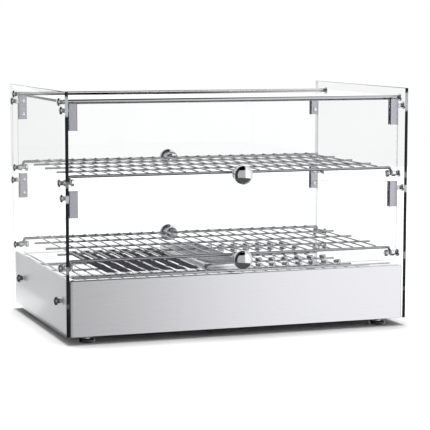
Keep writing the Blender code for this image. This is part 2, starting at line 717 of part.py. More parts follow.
def thermostat_dial():
    """The dial that turns on the thermostat's shaft, with a raised grip bar across it."""
    x, z = DIAL_PLACE
    seat = HALF_DEPTH + GAP
    dial = empty("thermostat_dial_axis", (x, seat, z), CASE_FRAME)
    profile = [
        (DIAL_RADIUS * 0.86, DIAL_REACH - 0.0075),
        (DIAL_RADIUS * 0.92, DIAL_REACH - 0.0085),
        (DIAL_RADIUS, 0.0040),
        (DIAL_RADIUS, 0.0),
    ]
    bm = bmesh.new()
    turned(bm, profile, 24, along_y(0, 0, 0, 1))
    knob = piece("thermostat_knob", bm, "black_plastic", parent=dial)
    grip = bmesh.new()
    block(grip, (-0.0045, 0.004, -DIAL_RADIUS * 0.84), (0.0045, DIAL_REACH, DIAL_RADIUS * 0.84))
    boolean(knob, "UNION", grip)
    bore = bmesh.new()
    radius = DIAL_SHAFT_RADIUS + HOLE_GAP
    turned(bore, [(radius, -0.001), (radius, DIAL_SHAFT_REACH + GAP)], 12, along_y(0, 0, 0, 1))
    boolean(knob, "DIFFERENCE", bore)


def power_switch():
    """A rocker in a cut-out of the rear wall, its two faces meeting in a shallow V."""
    x, z = SWITCH_PLACE
    half_x, half_z = SWITCH_HALF
    rocker = empty("power_switch_axis", (x, HALF_DEPTH - 0.001, z), CASE_FRAME)
    rocker.rotation_euler = (SWITCH_TILT, 0, 0)
    rise = half_z * math.tan(SWITCH_TILT)
    outline = [(0.0025, 0.0), (0.0025 + rise, half_z), (-0.006, half_z * 0.8), (-0.006, -half_z * 0.8)]
    outline.append((0.0025 + rise, -half_z))
    bm = bmesh.new()
    loft(bm, [[(px, y, pz) for y, pz in outline] for px in (-half_x, half_x)])
    piece("power_switch", bm, "red_plastic", parent=rocker, smooth=False)


def cord_gland():
    """The gland that the mains lead would come out of, clamped through the rear wall."""
    x, z = GLAND_PLACE
    seat = HALF_DEPTH + GAP
    profile = [
        (0.0045, seat + 0.0150),
        (0.0065, seat + 0.0145),
        (0.0085, seat + 0.0050),
        (GLAND_FLANGE_RADIUS, seat + 0.0045),
        (GLAND_FLANGE_RADIUS, seat),
        (GLAND_RADIUS, seat),
        (GLAND_RADIUS, HALF_DEPTH - SHEET - GAP),
        (GLAND_FLANGE_RADIUS, HALF_DEPTH - SHEET - GAP),
        (GLAND_FLANGE_RADIUS, HALF_DEPTH - SHEET - 0.0050),
    ]
    bm = bmesh.new()
    turned(bm, profile, 16, along_y(x, 0, z, 1))
    piece("cord_gland", bm, "black_plastic")


# --- The whole case ------------------------------------------------------------------------------
for old in list(bpy.data.objects):
    bpy.data.objects.remove(old, do_unlink=True)

CASE_FRAME = empty("case_frame", (0, CASE_SHIFT, FOOT_HEIGHT))

for side_name in SIDES:
    side_glass(side_name)
    side_fixings(side_name)
    for face_name in FACES:
        foot(face_name, side_name)

for face_name in FACES:
    top_rod(face_name)
    for level_name in DOOR_BOTTOMS:
        door(face_name, level_name)

top_glass()
for level_name in SHELF_PIN_LEVELS:
    rack(level_name)

base_casing()
deck_plate()
water_tray()
bottom_plate()
heating_element()
thermostat()
thermostat_dial()
power_switch()
cord_gland()
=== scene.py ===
"""Looks for the two-level hot food display case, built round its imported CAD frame.

Every position comes from the frame's own boxes. Sizes that the frame can't give, such as a bevel
or a wire's radius, are the named values below, in metres.
"""

import math

import bmesh
import bpy
from mathutils import Matrix, Vector

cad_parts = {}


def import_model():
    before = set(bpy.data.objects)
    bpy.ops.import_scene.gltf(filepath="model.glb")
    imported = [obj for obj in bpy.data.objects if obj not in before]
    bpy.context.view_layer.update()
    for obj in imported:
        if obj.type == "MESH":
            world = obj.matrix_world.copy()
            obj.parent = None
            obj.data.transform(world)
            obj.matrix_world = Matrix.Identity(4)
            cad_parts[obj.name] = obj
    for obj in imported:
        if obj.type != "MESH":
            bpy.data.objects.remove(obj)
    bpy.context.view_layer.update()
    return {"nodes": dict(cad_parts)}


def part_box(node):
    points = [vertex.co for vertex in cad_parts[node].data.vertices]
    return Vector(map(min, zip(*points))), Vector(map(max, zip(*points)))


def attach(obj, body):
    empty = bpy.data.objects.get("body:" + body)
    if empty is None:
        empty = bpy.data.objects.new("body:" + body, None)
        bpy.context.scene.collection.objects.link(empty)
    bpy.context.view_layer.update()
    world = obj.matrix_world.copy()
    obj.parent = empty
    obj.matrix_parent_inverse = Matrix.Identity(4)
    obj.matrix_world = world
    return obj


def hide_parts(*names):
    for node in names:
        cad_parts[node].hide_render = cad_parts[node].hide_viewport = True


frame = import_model()

SIDES = {"left": -1, "right": 1}
FACES = {"front": -1, "rear": 1}
LEVELS = ("lower", "upper")
GAP = 0.0003  # between pieces that nearly touch
SHEET = 0.0012  # thickness of the sheet steel
SHANK = 0.0030  # radius of every pin, screw and bolt that passes through glass
BORE = 0.0033  # radius of the holes for them
THROUGH = 0.010  # how far a cutter reaches each way, more than any pane is thick
THROUGH_SHEET = 0.004  # the same, for sheet steel


def centre(node):
    """The middle of a CAD node's box."""
    low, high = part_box(node)
    return (low + high) / 2


GLASS_LOW, GLASS_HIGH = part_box("left_side_glass")
CASE_Y = (GLASS_LOW.y + GLASS_HIGH.y) / 2
CASE_Z = GLASS_LOW.z
HALF_WIDTH = -GLASS_LOW.x
SIDE_INNER = -GLASS_HIGH.x
REAR_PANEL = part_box("base_casing")[1].y


# --- Shader building ---
BUMP_DEPTH = 0.0001  # of a grain, in metres
NOISE_SPAN = (0.3, 0.7)  # where most of a noise texture's values lie


class Nodes:
    """A node tree, with short ways to add nodes and link them."""

    def __init__(self, tree):
        self.tree = tree

    def node(self, kind, sockets=None, **settings):
        """Adds a node. Sockets are numbers to set or other nodes' sockets to link."""
        made = self.tree.nodes.new(kind)
        for name, value in settings.items():
            setattr(made, name, value)
        for name, value in (sockets or {}).items():
            self.feed(made.inputs[name], value)
        return made

    def feed(self, socket, value):
        if isinstance(value, bpy.types.NodeSocket):
            self.tree.links.new(value, socket)
        else:
            socket.default_value = value

    def maths(self, operation, first, second=0.0, clamp=False):
        made = self.node("ShaderNodeMath", {0: first, 1: second}, operation=operation, use_clamp=clamp)
        return made.outputs[0]

    def remap(self, value, low, high, start, end, **settings):
        """Runs from start to end while the value runs from low to high."""
        limits = {"From Min": low, "From Max": high, "To Min": start, "To Max": end}
        return self.node("ShaderNodeMapRange", {"Value": value, **limits}, **settings).outputs[0]


class Finish(Nodes):
    """One material's node tree, with a Principled shader ready to feed."""

    def __init__(self, name, colour=(0.8, 0.8, 0.8), roughness=0.5, metallic=0.0, **sockets):
        self.material = bpy.data.materials.new(name)
        self.material.use_nodes = True
        super().__init__(self.material.node_tree)
        self.shader = self.tree.nodes["Principled BSDF"]
        self.output = self.tree.nodes["Material Output"]
        sockets.update(Base_Color=(*colour, 1.0), Roughness=roughness, Metallic=metallic)
        for socket, value in sockets.items():
            self.shader.inputs[socket.replace("_", " ")].default_value = value

    def ramp(self, value, stops):
        """A colour ramp with (position, grey or colour) stops."""
        made = self.node("ShaderNodeValToRGB", {"Fac": value})
        elements = made.color_ramp.elements
        while len(elements) < len(stops):
            elements.new(0.5)
        for element, (position, colour) in zip(elements, stops):
            element.position = position
            rgb = colour if isinstance(colour, tuple) else (colour, colour, colour)
            element.color = (*rgb, 1.0)
        return made.outputs["Color"]

    def noise(self, scale, detail=2.0, stretch=(1, 1, 1), roughness=0.5):
        """Noise in the piece's own coordinates, in metres, stretched along an axis."""
        where = self.node("ShaderNodeTexCoord").outputs["Object"]
        mapped = self.node("ShaderNodeMapping", {"Vector": where, "Scale": stretch})
        made = self.node(
            "ShaderNodeTexNoise",
            {"Vector": mapped.outputs[0], "Scale": scale, "Detail": detail, "Roughness": roughness},
        )
        return made.outputs["Fac"]

    def bump(self, height, strength):
        made = self.node("ShaderNodeBump", {"Height": height, "Strength": strength, "Distance": BUMP_DEPTH})
        self.feed(self.shader.inputs["Normal"], made.outputs[0])

    def vary_roughness(self, noise, low, high):
        self.feed(self.shader.inputs["Roughness"], self.remap(noise, *NOISE_SPAN, low, high))

    def vary_colour(self, noise, dark, light):
        stops = list(zip(NOISE_SPAN, (dark, light)))
        self.feed(self.shader.inputs["Base Color"], self.ramp(noise, stops))


def pane_face(name, sheen_strength, tint_level=1.0):
    """The broad faces of a clear pane: what is behind shows unbent, with a mirror-like sheen."""
    look = Finish(name)
    smears = look.noise(9.0, detail=3.0)
    tint = look.ramp(smears, [(0.25, (0.990, 0.994, 0.993)), (0.75, (0.997, 0.999, 0.998))])
    backfacing = look.node("ShaderNodeNewGeometry").outputs["Backfacing"]
    if tint_level < 1.0:
        grey = (tint_level, tint_level, tint_level * 1.003, 1.0)
        tint = look.node("ShaderNodeMix", {0: backfacing, 6: grey, 7: tint}, data_type="RGBA").outputs[2]
    through = look.node("ShaderNodeBsdfTransparent", {"Color": tint})
    blur = look.remap(smears, 0.45, 0.75, 0.0, 0.06)
    sheen = look.node("ShaderNodeBsdfGlossy", {"Color": (1, 1, 1, 1), "Roughness": blur})
    fresnel = look.node("ShaderNodeFresnel", {"IOR": 1.5})
    strength = look.maths("MULTIPLY", fresnel.outputs[0], sheen_strength)
    # one sheen on the near face stands for both faces of the pane
    facing = look.maths("SUBTRACT", 1.0, backfacing)
    share = look.maths("MULTIPLY", strength, facing, clamp=True)
    mixed = look.node("ShaderNodeMixShader", {0: share, 1: through.outputs[0], 2: sheen.outputs[0]})
    look.feed(look.output.inputs["Surface"], mixed.outputs[0])
    look.tree.nodes.remove(look.shader)
    return look.material


def pane_edge():
    """A door's upright edge: half clear, with a soft grey-green cast."""
    look = Finish("pane_edge", (0.42, 0.46, 0.45), 0.12)
    grain = look.noise(120.0)
    look.vary_roughness(grain, 0.08, 0.18)
    look.vary_colour(grain, (0.36, 0.40, 0.39), (0.48, 0.52, 0.51))
    through = look.node("ShaderNodeBsdfTransparent", {"Color": (0.93, 0.95, 0.94, 1.0)})
    mixed = look.node("ShaderNodeMixShader", {0: 0.45, 1: through.outputs[0], 2: look.shader.outputs[0]})
    look.feed(look.output.inputs["Surface"], mixed.outputs[0])
    return look.material


def polished_edge(name, dark, light=None, painted_glints=(), seen_through=0.25):
    """A pane's polished edge: dark from outside and faint through the pane.

    Painted glints are (height, reach, strength): heights where the edge's colour is painted lighter beside
    the pins, a painted reflection of the pins in the edge.
    """
    look = Finish(name, dark, 0.08, Specular_IOR_Level=0.12)
    grain = look.noise(160.0)
    look.vary_roughness(grain, 0.05, 0.14)
    where = look.node("ShaderNodeTexCoord").outputs["Object"]
    height = look.node("ShaderNodeSeparateXYZ", {0: where}).outputs["Z"]
    painted_glint_share = None
    for level, reach, strength in painted_glints:
        distance = look.maths("ABSOLUTE", look.maths("SUBTRACT", height, level))
        near = look.remap(distance, reach * 0.55, reach, strength, 0.0, interpolation_type="SMOOTHSTEP")
        painted_glint_share = near if painted_glint_share is None else look.maths("MAXIMUM", painted_glint_share, near)
    # painted highlight: the edge's colour runs lighter at the pins' heights
    if painted_glints:
        mixed = look.node("ShaderNodeMix", {0: painted_glint_share, 6: (*dark, 1.0), 7: (*light, 1.0)}, data_type="RGBA")
        look.feed(look.shader.inputs["Base Color"], mixed.outputs[2])
    backfacing = look.node("ShaderNodeNewGeometry").outputs["Backfacing"]
    through = look.node("ShaderNodeBsdfTransparent", {"Color": (0.93, 0.94, 0.94, 1.0)})
    clear = look.maths("MULTIPLY", backfacing, 1.0 - seen_through)
    both = look.node("ShaderNodeMixShader", {0: clear, 1: look.shader.outputs[0], 2: through.outputs[0]})
    look.feed(look.output.inputs["Surface"], both.outputs[0])
    return look.material


def chrome(name, colour=(0.80, 0.81, 0.83), low=0.03, high=0.09):
    look = Finish(name, colour, low, 1.0)
    look.vary_roughness(look.noise(220.0, detail=3.0), low, high)
    look.bump(look.noise(900.0), 0.03)
    return look.material


def brushed_steel(name, dark, light, low, high, strength):
    """Steel sheet with a fine brushed grain that runs along X."""
    look = Finish(name, light, low, 1.0)
    grain = look.noise(1.0, detail=4.0, stretch=(12, 2600, 2600), roughness=0.65)
    look.vary_roughness(grain, low, high)
    look.vary_colour(grain, dark, light)
    look.bump(grain, strength)
    return look.material


def satin_metal(name):
    look = Finish(name, (0.45, 0.44, 0.50), 0.28, 1.0)
    grain = look.noise(1400.0, detail=3.0)
    look.vary_roughness(grain, 0.24, 0.34)
    look.vary_colour(look.noise(260.0), (0.42, 0.41, 0.47), (0.48, 0.47, 0.53))
    look.bump(grain, 0.08)
    return look.material


def moulded_plastic(name, colour, low, high, grain_scale=1800.0, strength=0.2):
    look = Finish(name, colour, low)
    grain = look.noise(grain_scale, detail=3.0)
    look.vary_roughness(grain, low, high)
    look.bump(grain, strength)
    return look.material


def heater_sheath():
    """A steel sheath that heat has turned straw, brown and blue in places."""
    look = Finish("heater_sheath", (0.2, 0.19, 0.18), 0.4, 0.9)
    patches = look.noise(26.0, detail=3.0)
    colours = [(0.30, (0.10, 0.10, 0.14)), (0.50, (0.22, 0.18, 0.15)), (0.72, (0.36, 0.30, 0.22))]
    look.feed(look.shader.inputs["Base Color"], look.ramp(patches, colours))
    look.vary_roughness(patches, 0.32, 0.55)
    return look.material


def scratched_sheet(name, dark, light, low, high, strength=0.05, metallic=1.0, specular=0.5):
    """Sheet steel with a faint directional sheen and fine wear, or dull sheet if metallic is 0."""
    look = Finish(name, light, low, metallic, Specular_IOR_Level=specular)
    grain = look.noise(1.0, detail=4.0, stretch=(60, 1400, 1400), roughness=0.7)
    clouds = look.noise(14.0, detail=3.0)
    look.vary_colour(clouds, dark, light)
    look.vary_roughness(grain, low, high)
    look.bump(grain, strength)
    return look.material


# Painted glints: heights where the side glass's edge colour is painted lighter, standing for the pins'
# reflection in the edge.
PAINTED_PIN_GLINTS = [
    (centre("front_left_rod_screw").z, 0.011, 0.75),
    (centre("front_upper_left_hinge_pin").z, 0.010, 0.80),
    (centre("front_upper_left_shelf_pin").z, 0.006, 0.30),
    (centre("front_lower_left_hinge_pin").z, 0.007, 0.80),
    (centre("front_lower_left_shelf_pin").z, 0.007, 0.35),
    (centre("front_left_base_screw").z, 0.004, 0.12),
]

DOOR_FACE = pane_face("door_pane_face", 0.7)
SIDE_FACE = pane_face("side_pane_face", 1.0)
SIDE_INNER_FACE = pane_face("side_pane_inner_face", 0.25, 0.94)
TOP_FACE = pane_face("top_pane_face", 1.6)
DOOR_RIM = polished_edge("door_rim", (0.05, 0.055, 0.055), seen_through=0.6)
TOP_EDGE = polished_edge("top_pane_edge", (0.02, 0.02, 0.025))
SIDE_EDGE = polished_edge("side_glass_edge", (0.010, 0.012, 0.012), (0.62, 0.64, 0.65), PAINTED_PIN_GLINTS)
PANE_EDGE = pane_edge()
CHROME = chrome("chrome_fitting")
KNOB_CHROME = chrome("chrome_knob", low=0.015, high=0.04)
# Painted shade and painted reflection: the front rod's chrome is darkened for the dark it mirrors, and the
# rear rod's is lightened for the top glass's reflection over it.
FRONT_ROD_SHADED_CHROME = chrome("chrome_rod", (0.46, 0.46, 0.48), 0.04, 0.10)
REAR_ROD_LIGHTENED_CHROME = chrome("chrome_rear_rod_painted_light", (0.90, 0.90, 0.91), 0.04, 0.10)
SCREW_CHROME = chrome("screw_chrome", (0.42, 0.42, 0.43), 0.05, 0.12)
# Painted shade: the rack's chrome is darkened to stand for the dark studio its wires mirror.
SHADED_RACK_WIRE = chrome("rack_wire", (0.30, 0.30, 0.32), 0.06, 0.14)
CLAMP = satin_metal("hinge_clamp")
# The clamp's end faces across X are black.
CLAMP_SIDE = moulded_plastic("clamp_end_black", (0.012, 0.012, 0.013), 0.45, 0.60, 1500.0, 0.1)
BASE_STEEL = brushed_steel("base_steel", (0.68, 0.68, 0.71), (0.76, 0.76, 0.78), 0.24, 0.34, 0.10)
DECK_STEEL = scratched_sheet("deck_steel", (0.88, 0.88, 0.89), (0.92, 0.92, 0.93), 0.02, 0.06, 0.012)
TRAY_STEEL = scratched_sheet("tray_steel", (0.78, 0.78, 0.80), (0.86, 0.86, 0.87), 0.16, 0.28, 0.03)
# Painted shade: near-black matt sheet for the louvre blades, standing for the shade inside the slots.
SHADED_BLADE_SHEET = scratched_sheet(
    "blade_painted_shade", (0.020, 0.019, 0.023), (0.034, 0.031, 0.040), 0.5, 0.7, metallic=0.0, specular=0.0
)
# Painted shade in part: the bottom plate's galvanised grey is darkened and made matt, so the inside of the
# base reads dark through the slots.
SHADED_BOTTOM_STEEL = scratched_sheet(
    "bottom_steel_painted_shade", (0.20, 0.20, 0.21), (0.26, 0.26, 0.27), 0.5, 0.7, metallic=0.0, specular=0.1
)
COLLAR_STEEL = scratched_sheet("collar_steel", (0.66, 0.66, 0.68), (0.76, 0.76, 0.78), 0.12, 0.22)
FOOT_BLACK = moulded_plastic("foot_black", (0.015, 0.015, 0.016), 0.18, 0.34, 1200.0, 0.1)
BLACK_PLASTIC = moulded_plastic("black_plastic", (0.020, 0.020, 0.021), 0.32, 0.50)
PHENOLIC = moulded_plastic("thermostat_body", (0.035, 0.033, 0.030), 0.45, 0.65)
RED_ROCKER = moulded_plastic("red_rocker", (0.52, 0.02, 0.015), 0.08, 0.16, 700.0, 0.05)
NYLON = moulded_plastic("white_nylon", (0.78, 0.78, 0.77), 0.30, 0.42, 1500.0, 0.08)
PRINT_WHITE = moulded_plastic("dial_print", (0.80, 0.80, 0.79), 0.40, 0.50, 2000.0, 0.05)
HEATER = heater_sheath()


# --- Mesh building ---
def piece(name, bm, materials, body, replaces=(), sharp=35.0):
    """Makes a shown piece from a bmesh in the row frame, and rides it on a body."""
    bmesh.ops.recalc_face_normals(bm, faces=bm.faces)
    mesh = bpy.data.meshes.new(name)
    bm.to_mesh(mesh)
    bm.free()
    mesh.shade_smooth()
    mesh.set_sharp_from_angle(angle=math.radians(sharp))
    for material in materials if isinstance(materials, (list, tuple)) else [materials]:
        mesh.materials.append(material)
    made = bpy.data.objects.new(name, mesh)
    bpy.context.scene.collection.objects.link(made)
    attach(made, body)
    if replaces:
        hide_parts(*replaces)
    return made


def solid(bm):
    """A short-lived object for a Boolean."""
    bmesh.ops.recalc_face_normals(bm, faces=bm.faces)
    mesh = bpy.data.meshes.new("scratch")
    bm.to_mesh(mesh)
    bm.free()
    made = bpy.data.objects.new("scratch", mesh)
    bpy.context.scene.collection.objects.link(made)
    return made


def combine(bm, other, operation):
    """The bmesh after a Boolean with another one. Both inputs are used up."""
    target, tool = solid(bm), solid(other)
    modifier = target.modifiers.new("combine", "BOOLEAN")
    modifier.operation = operation
    modifier.object = tool
    graph = bpy.context.evaluated_depsgraph_get()
    result = bmesh.new()
    result.from_mesh(target.evaluated_get(graph).to_mesh())
    for used in (target, tool):
        mesh = used.data
        bpy.data.objects.remove(used)
        bpy.data.meshes.remove(mesh)
    bmesh.ops.remove_doubles(result, verts=result.verts, dist=1e-7)
    return result


def loft(bm, rings, closed=False, caps=True):
    """Joins equal rings of points by quads, with a cap at each end unless closed."""
    rows = [[bm.verts.new(point) for point in ring] for ring in rings]
    count = len(rows[0])
    pairs = list(zip(rows, rows[1:]))
    if closed:
        pairs.append((rows[-1], rows[0]))
    for first, second in pairs:
        for i in range(count):
            j = (i + 1) % count
            bm.faces.new((first[i], first[j], second[j], second[i]))
    if caps and not closed:
        bm.faces.new(rows[0])
        bm.faces.new(reversed(rows[-1]))


def circle(radius, height, count, place=Matrix()):
    """A ring of points round a placed axis."""
    angles = [2 * math.pi * i / count for i in range(count)]
    return [place @ Vector((radius * math.cos(a), radius * math.sin(a), height)) for a in angles]


def turned(bm, profile, place=Matrix(), segments=40):
    """A turned body from (radius, height) points, from one flat end to the other."""
    loft(bm, [circle(radius, height, segments, place) for radius, height in profile])


def drilled(bm, radius, reach, place, segments=24):
    """Adds a round cutter that reaches equally far both ways."""
    turned(bm, [(radius, -reach), (radius, reach)], place, segments)


def swept(bm, path, radius, sides=12):
    """A round wire along a path. A ring at each point halves the bend there."""
    points = [Vector(p) for p in path]
    steps = [(b - a).normalized() for a, b in zip(points, points[1:])]
    side = steps[0].orthogonal().normalized()
    rings = []
    for i, point in enumerate(points):
        along = (steps[max(i - 1, 0)] + steps[min(i, len(steps) - 1)]).normalized()
        side = (side - along * side.dot(along)).normalized()
        other = along.cross(side)
        angles = [2 * math.pi * k / sides for k in range(sides)]
        rings.append([point + radius * (math.cos(a) * side + math.sin(a) * other) for a in angles])
    loft(bm, rings)


def block(bm, low, high):
    low, high = Vector(low), Vector(high)
    place = Matrix.Translation((low + high) / 2) @ Matrix.Diagonal((*(high - low), 1.0))
    bmesh.ops.create_cube(bm, size=1.0, matrix=place)


def bevel_edges(bm, width, segments=2, angle=30.0):
    """Rounds the edges that are sharper than the angle."""
    bm.normal_update()
    chosen = [edge for edge in bm.edges if edge.calc_face_angle(0.0) > math.radians(angle)]
    bmesh.ops.bevel(bm, geom=chosen, offset=width, segments=segments, profile=0.5, affect="EDGES")


def arc(radius, start, end, steps):
    """Points on a circle round zero, from one angle to another, in degrees."""
    angles = [math.radians(start + (end - start) * i / steps) for i in range(steps + 1)]
    return [(radius * math.cos(a), radius * math.sin(a)) for a in angles]


def round_rectangle(half_x, half_y, radius, level, steps=6, middle=(0.0, 0.0)):
    """The points of a rectangle with round corners, at one level."""
    ring = []
    for corner, (sign_x, sign_y) in enumerate(((1, 1), (-1, 1), (-1, -1), (1, -1))):
        corner_x = middle[0] + sign_x * (half_x - radius)
        corner_y = middle[1] + sign_y * (half_y - radius)
        for x, y in arc(radius, 90 * corner, 90 * corner + 90, steps):
            ring.append((corner_x + x, corner_y + y, level))
    return ring


def along_x(point, sign=1):
    """Places a turned body on an axis along X, its height running outwards."""
    return Matrix.Translation(point) @ Matrix.Rotation(sign * math.pi / 2, 4, "Y")


def along_y(point, sign=1):
    """Places a turned body on an axis along Y, its height running outwards."""
    return Matrix.Translation(point) @ Matrix.Rotation(-sign * math.pi / 2, 4, "X")


# --- Glass ---
SQUARE = 0.95  # a normal's share along an axis, for a face that counts as square to it
SIDE_CHAMFER, PANE_CHAMFER = 0.0005, 0.0004
NOTCH_HEIGHT = 0.0145
PANE_CORNER = 0.006


def mark_edges(bm, axis):
    """Gives every face that isn't square to the axis the second material, a pane's edge."""
    bm.normal_update()
    for face in bm.faces:
        if abs(face.normal[axis]) < SQUARE:
            face.material_index = 1


def side_glass(side):
    """A side pane with small polished chamfers, bored for its pins and screws."""
    node = f"{side}_side_glass"
    low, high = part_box(node)
    bm = bmesh.new()
    block(bm, low, high)
    bevel_edges(bm, SIDE_CHAMFER)
    bores = bmesh.new()
    for fixing in frame["nodes"]:
        if f"_{side}_" in fixing and fixing.endswith(("_screw", "_pin")):
            middle = centre(fixing)
            drilled(bores, BORE, THROUGH, along_x(((low.x + high.x) / 2, middle.y, middle.z)))
    bm = combine(bm, bores, "DIFFERENCE")
    mark_edges(bm, 0)
    for face in bm.faces:
        if face.normal.x * SIDES[side] < -SQUARE:
            face.material_index = 2
    finishes = [SIDE_FACE, SIDE_EDGE, SIDE_INNER_FACE]
    piece(f"{side}_side_pane", bm, finishes, "case", [node], 25)


def top_glass():
    low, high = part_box("top_glass")
    bm = bmesh.new()
    block(bm, low, high)
    bevel_edges(bm, PANE_CHAMFER)
    mark_edges(bm, 2)
    piece("top_pane", bm, [TOP_FACE, TOP_EDGE], "case", ["top_glass"], 25)


def door_pane(face, level):
    """A door pane: round lower corners, notched upper ones, and a bore for the knob."""
    body = f"{face}_{level}_door"
    low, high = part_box(f"{body}_glass")
    notch_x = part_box(f"{body}_right_clamp")[0].x - GAP
    notch_z = high.z - NOTCH_HEIGHT - GAP
    right = [(notch_x, high.z), (notch_x, notch_z), (high.x, notch_z)]
    for x, z in arc(PANE_CORNER, 0, -90, 8):
        right.append((high.x - PANE_CORNER + x, low.z + PANE_CORNER + z))
    outline = right + [(-x, z) for x, z in reversed(right)]
    bm = bmesh.new()
    loft(bm, [[(x, y, z) for x, z in outline] for y in (low.y, high.y)])
    bevel_edges(bm, PANE_CHAMFER, angle=50)
    knob = centre(f"{face}_{level}_knob")
    bore = bmesh.new()
    drilled(bore, BORE, THROUGH, along_y((0, (low.y + high.y) / 2, knob.z)))
    bm = combine(bm, bore, "DIFFERENCE")
    mark_edges(bm, 1)
    for wall in bm.faces:
        if abs(wall.normal.z) > 0.9:
            wall.material_index = 2
    finishes = [DOOR_FACE, PANE_EDGE, DOOR_RIM]
    piece(f"{body}_pane", bm, finishes, body, [f"{body}_glass"], 25)


# --- Pins, screws and knobs ---
CAP_RADIUS, CAP_REACH = 0.006, 0.004
BASE_CAP_RADIUS, BASE_CAP_REACH = 0.0065, 0.0050
SPIGOT = 0.0024  # radius of a hinge pin inside its clamp
SPIGOT_BORE = 0.0027
SPIGOT_REACH = 0.0080
WASHER_RADIUS = 0.0045  # between a clamp and the side glass
SLEEVE_RADIUS = 0.005  # of a shelf pin
HEAD_RADIUS = 0.0055
HEAD_LENGTH = 0.0050
NECK_LENGTH = 0.0052
ROD_SCREW_RADIUS, ROD_SCREW_REACH = 0.0017, 0.010
BASE_SCREW_REACH = 0.0080
KNOB_CROWN, KNOB_BELLY = 0.0118, 0.0120  # the depths of a knob's outer and inner halves
KNOB_NECK = 0.0066
KNOB_SWELL = 0.985  # the knob's radius as a share of its box's
SCREW_RADIUS, SCREW_HEIGHT = 0.0034, 0.0011
CLAMP_CORE = 0.015  # height of the solid part above the pane's slot


def quarter_turn(steps, flat=0.0):
    """Angles from the axis to square, the first one set off the axis by a flat, in steps."""
    return [math.pi / 2 * (i + flat) / (steps + flat) for i in range(steps + 1)]


def dome(radius, reach, flank=0.25, steps=8):
    """The profile of a domed cap, from its crown to its seat at height 0."""
    side = reach * flank
    crown = [(radius * math.sin(t), side + (reach - side) * math.cos(t)) for t in quarter_turn(steps, 0.6)]
    return crown + [(radius, 0.0003), (radius - 0.0003, 0.0)]


def through_pin(node, material, inner, radius=CAP_RADIUS, reach=CAP_REACH):
    """A domed cap outside the side glass with the turned pin that runs inwards from it."""
    sign = -1 if "_left_" in node else 1
    middle = centre(node)
    seat = HALF_WIDTH + GAP
    profile = [(r, seat + h) for r, h in dome(radius, reach)] + [(SHANK, seat)] + inner
    bm = bmesh.new()
    turned(bm, profile, along_x((0, middle.y, middle.z), sign))
    piece(f"{node}_turned", bm, material, "case", [node])


def rod_screw(face, side):
    thread = [(ROD_SCREW_RADIUS, SIDE_INNER), (ROD_SCREW_RADIUS, SIDE_INNER - ROD_SCREW_REACH)]
    node = f"{face}_{side}_rod_screw"
    through_pin(node, CHROME, [(SHANK, SIDE_INNER)] + thread)


def base_screw(face, side):
    end = [(SHANK, SIDE_INNER - BASE_SCREW_REACH)]
    node = f"{face}_{side}_base_screw"
    through_pin(node, SCREW_CHROME, end, BASE_CAP_RADIUS, BASE_CAP_REACH)


def hinge_pin(face, level, side):
    """A hinge pin, and the nylon washer between its clamp and the side glass."""
    node = f"{face}_{level}_{side}_hinge_pin"
    clamp_low, clamp_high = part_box(f"{face}_{level}_door_{side}_clamp")
    clamp_outer = max(abs(clamp_low.x), abs(clamp_high.x))
    end = clamp_outer - SPIGOT_REACH
    spigot = [(SPIGOT, SIDE_INNER - 0.0002), (SPIGOT, end + 0.0006), (SPIGOT - 0.0006, end)]
    through_pin(node, CHROME, [(SHANK, SIDE_INNER)] + spigot)
    inner, outer = clamp_outer + GAP, SIDE_INNER - GAP
    profile = [(SPIGOT + 0.0002, inner), (WASHER_RADIUS - 0.0003, inner), (WASHER_RADIUS, inner + 0.0004)]
    profile += [(WASHER_RADIUS, outer - 0.0004), (WASHER_RADIUS - 0.0003, outer), (SPIGOT + 0.0002, outer)]
    middle = centre(node)
    place = along_x((0, middle.y, middle.z), SIDES[side])
    washer = bmesh.new()
    loft(washer, [circle(r, h, 32, place) for r, h in profile], closed=True)
    piece(f"{face}_{level}_{side}_hinge_washer", washer, NYLON, "case")


def shelf_pin(face, level, side):
    """A shelf pin: sleeve against the glass, neck for the rack's hook, and a round head."""
    node = f"{face}_{level}_{side}_shelf_pin"
    low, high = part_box(node)
    tip = min(abs(low.x), abs(high.x))
    head = tip + HEAD_LENGTH
    neck = head + NECK_LENGTH
    sleeve = [(SHANK, SIDE_INNER - GAP), (SLEEVE_RADIUS - 0.0004, SIDE_INNER - GAP)]
    sleeve += [(SLEEVE_RADIUS, SIDE_INNER - 0.0007), (SLEEVE_RADIUS, neck + 0.0005)]
    sleeve += [(SLEEVE_RADIUS - 0.0005, neck), (SHANK, neck), (SHANK, head)]
    cap = [(HEAD_RADIUS - 0.0005, head), (HEAD_RADIUS, head - 0.0005), (HEAD_RADIUS, tip + 0.0014)]
    cap += [(HEAD_RADIUS - 0.0005, tip + 0.0005), (HEAD_RADIUS - 0.0013, tip)]
    through_pin(node, CHROME, sleeve + cap)


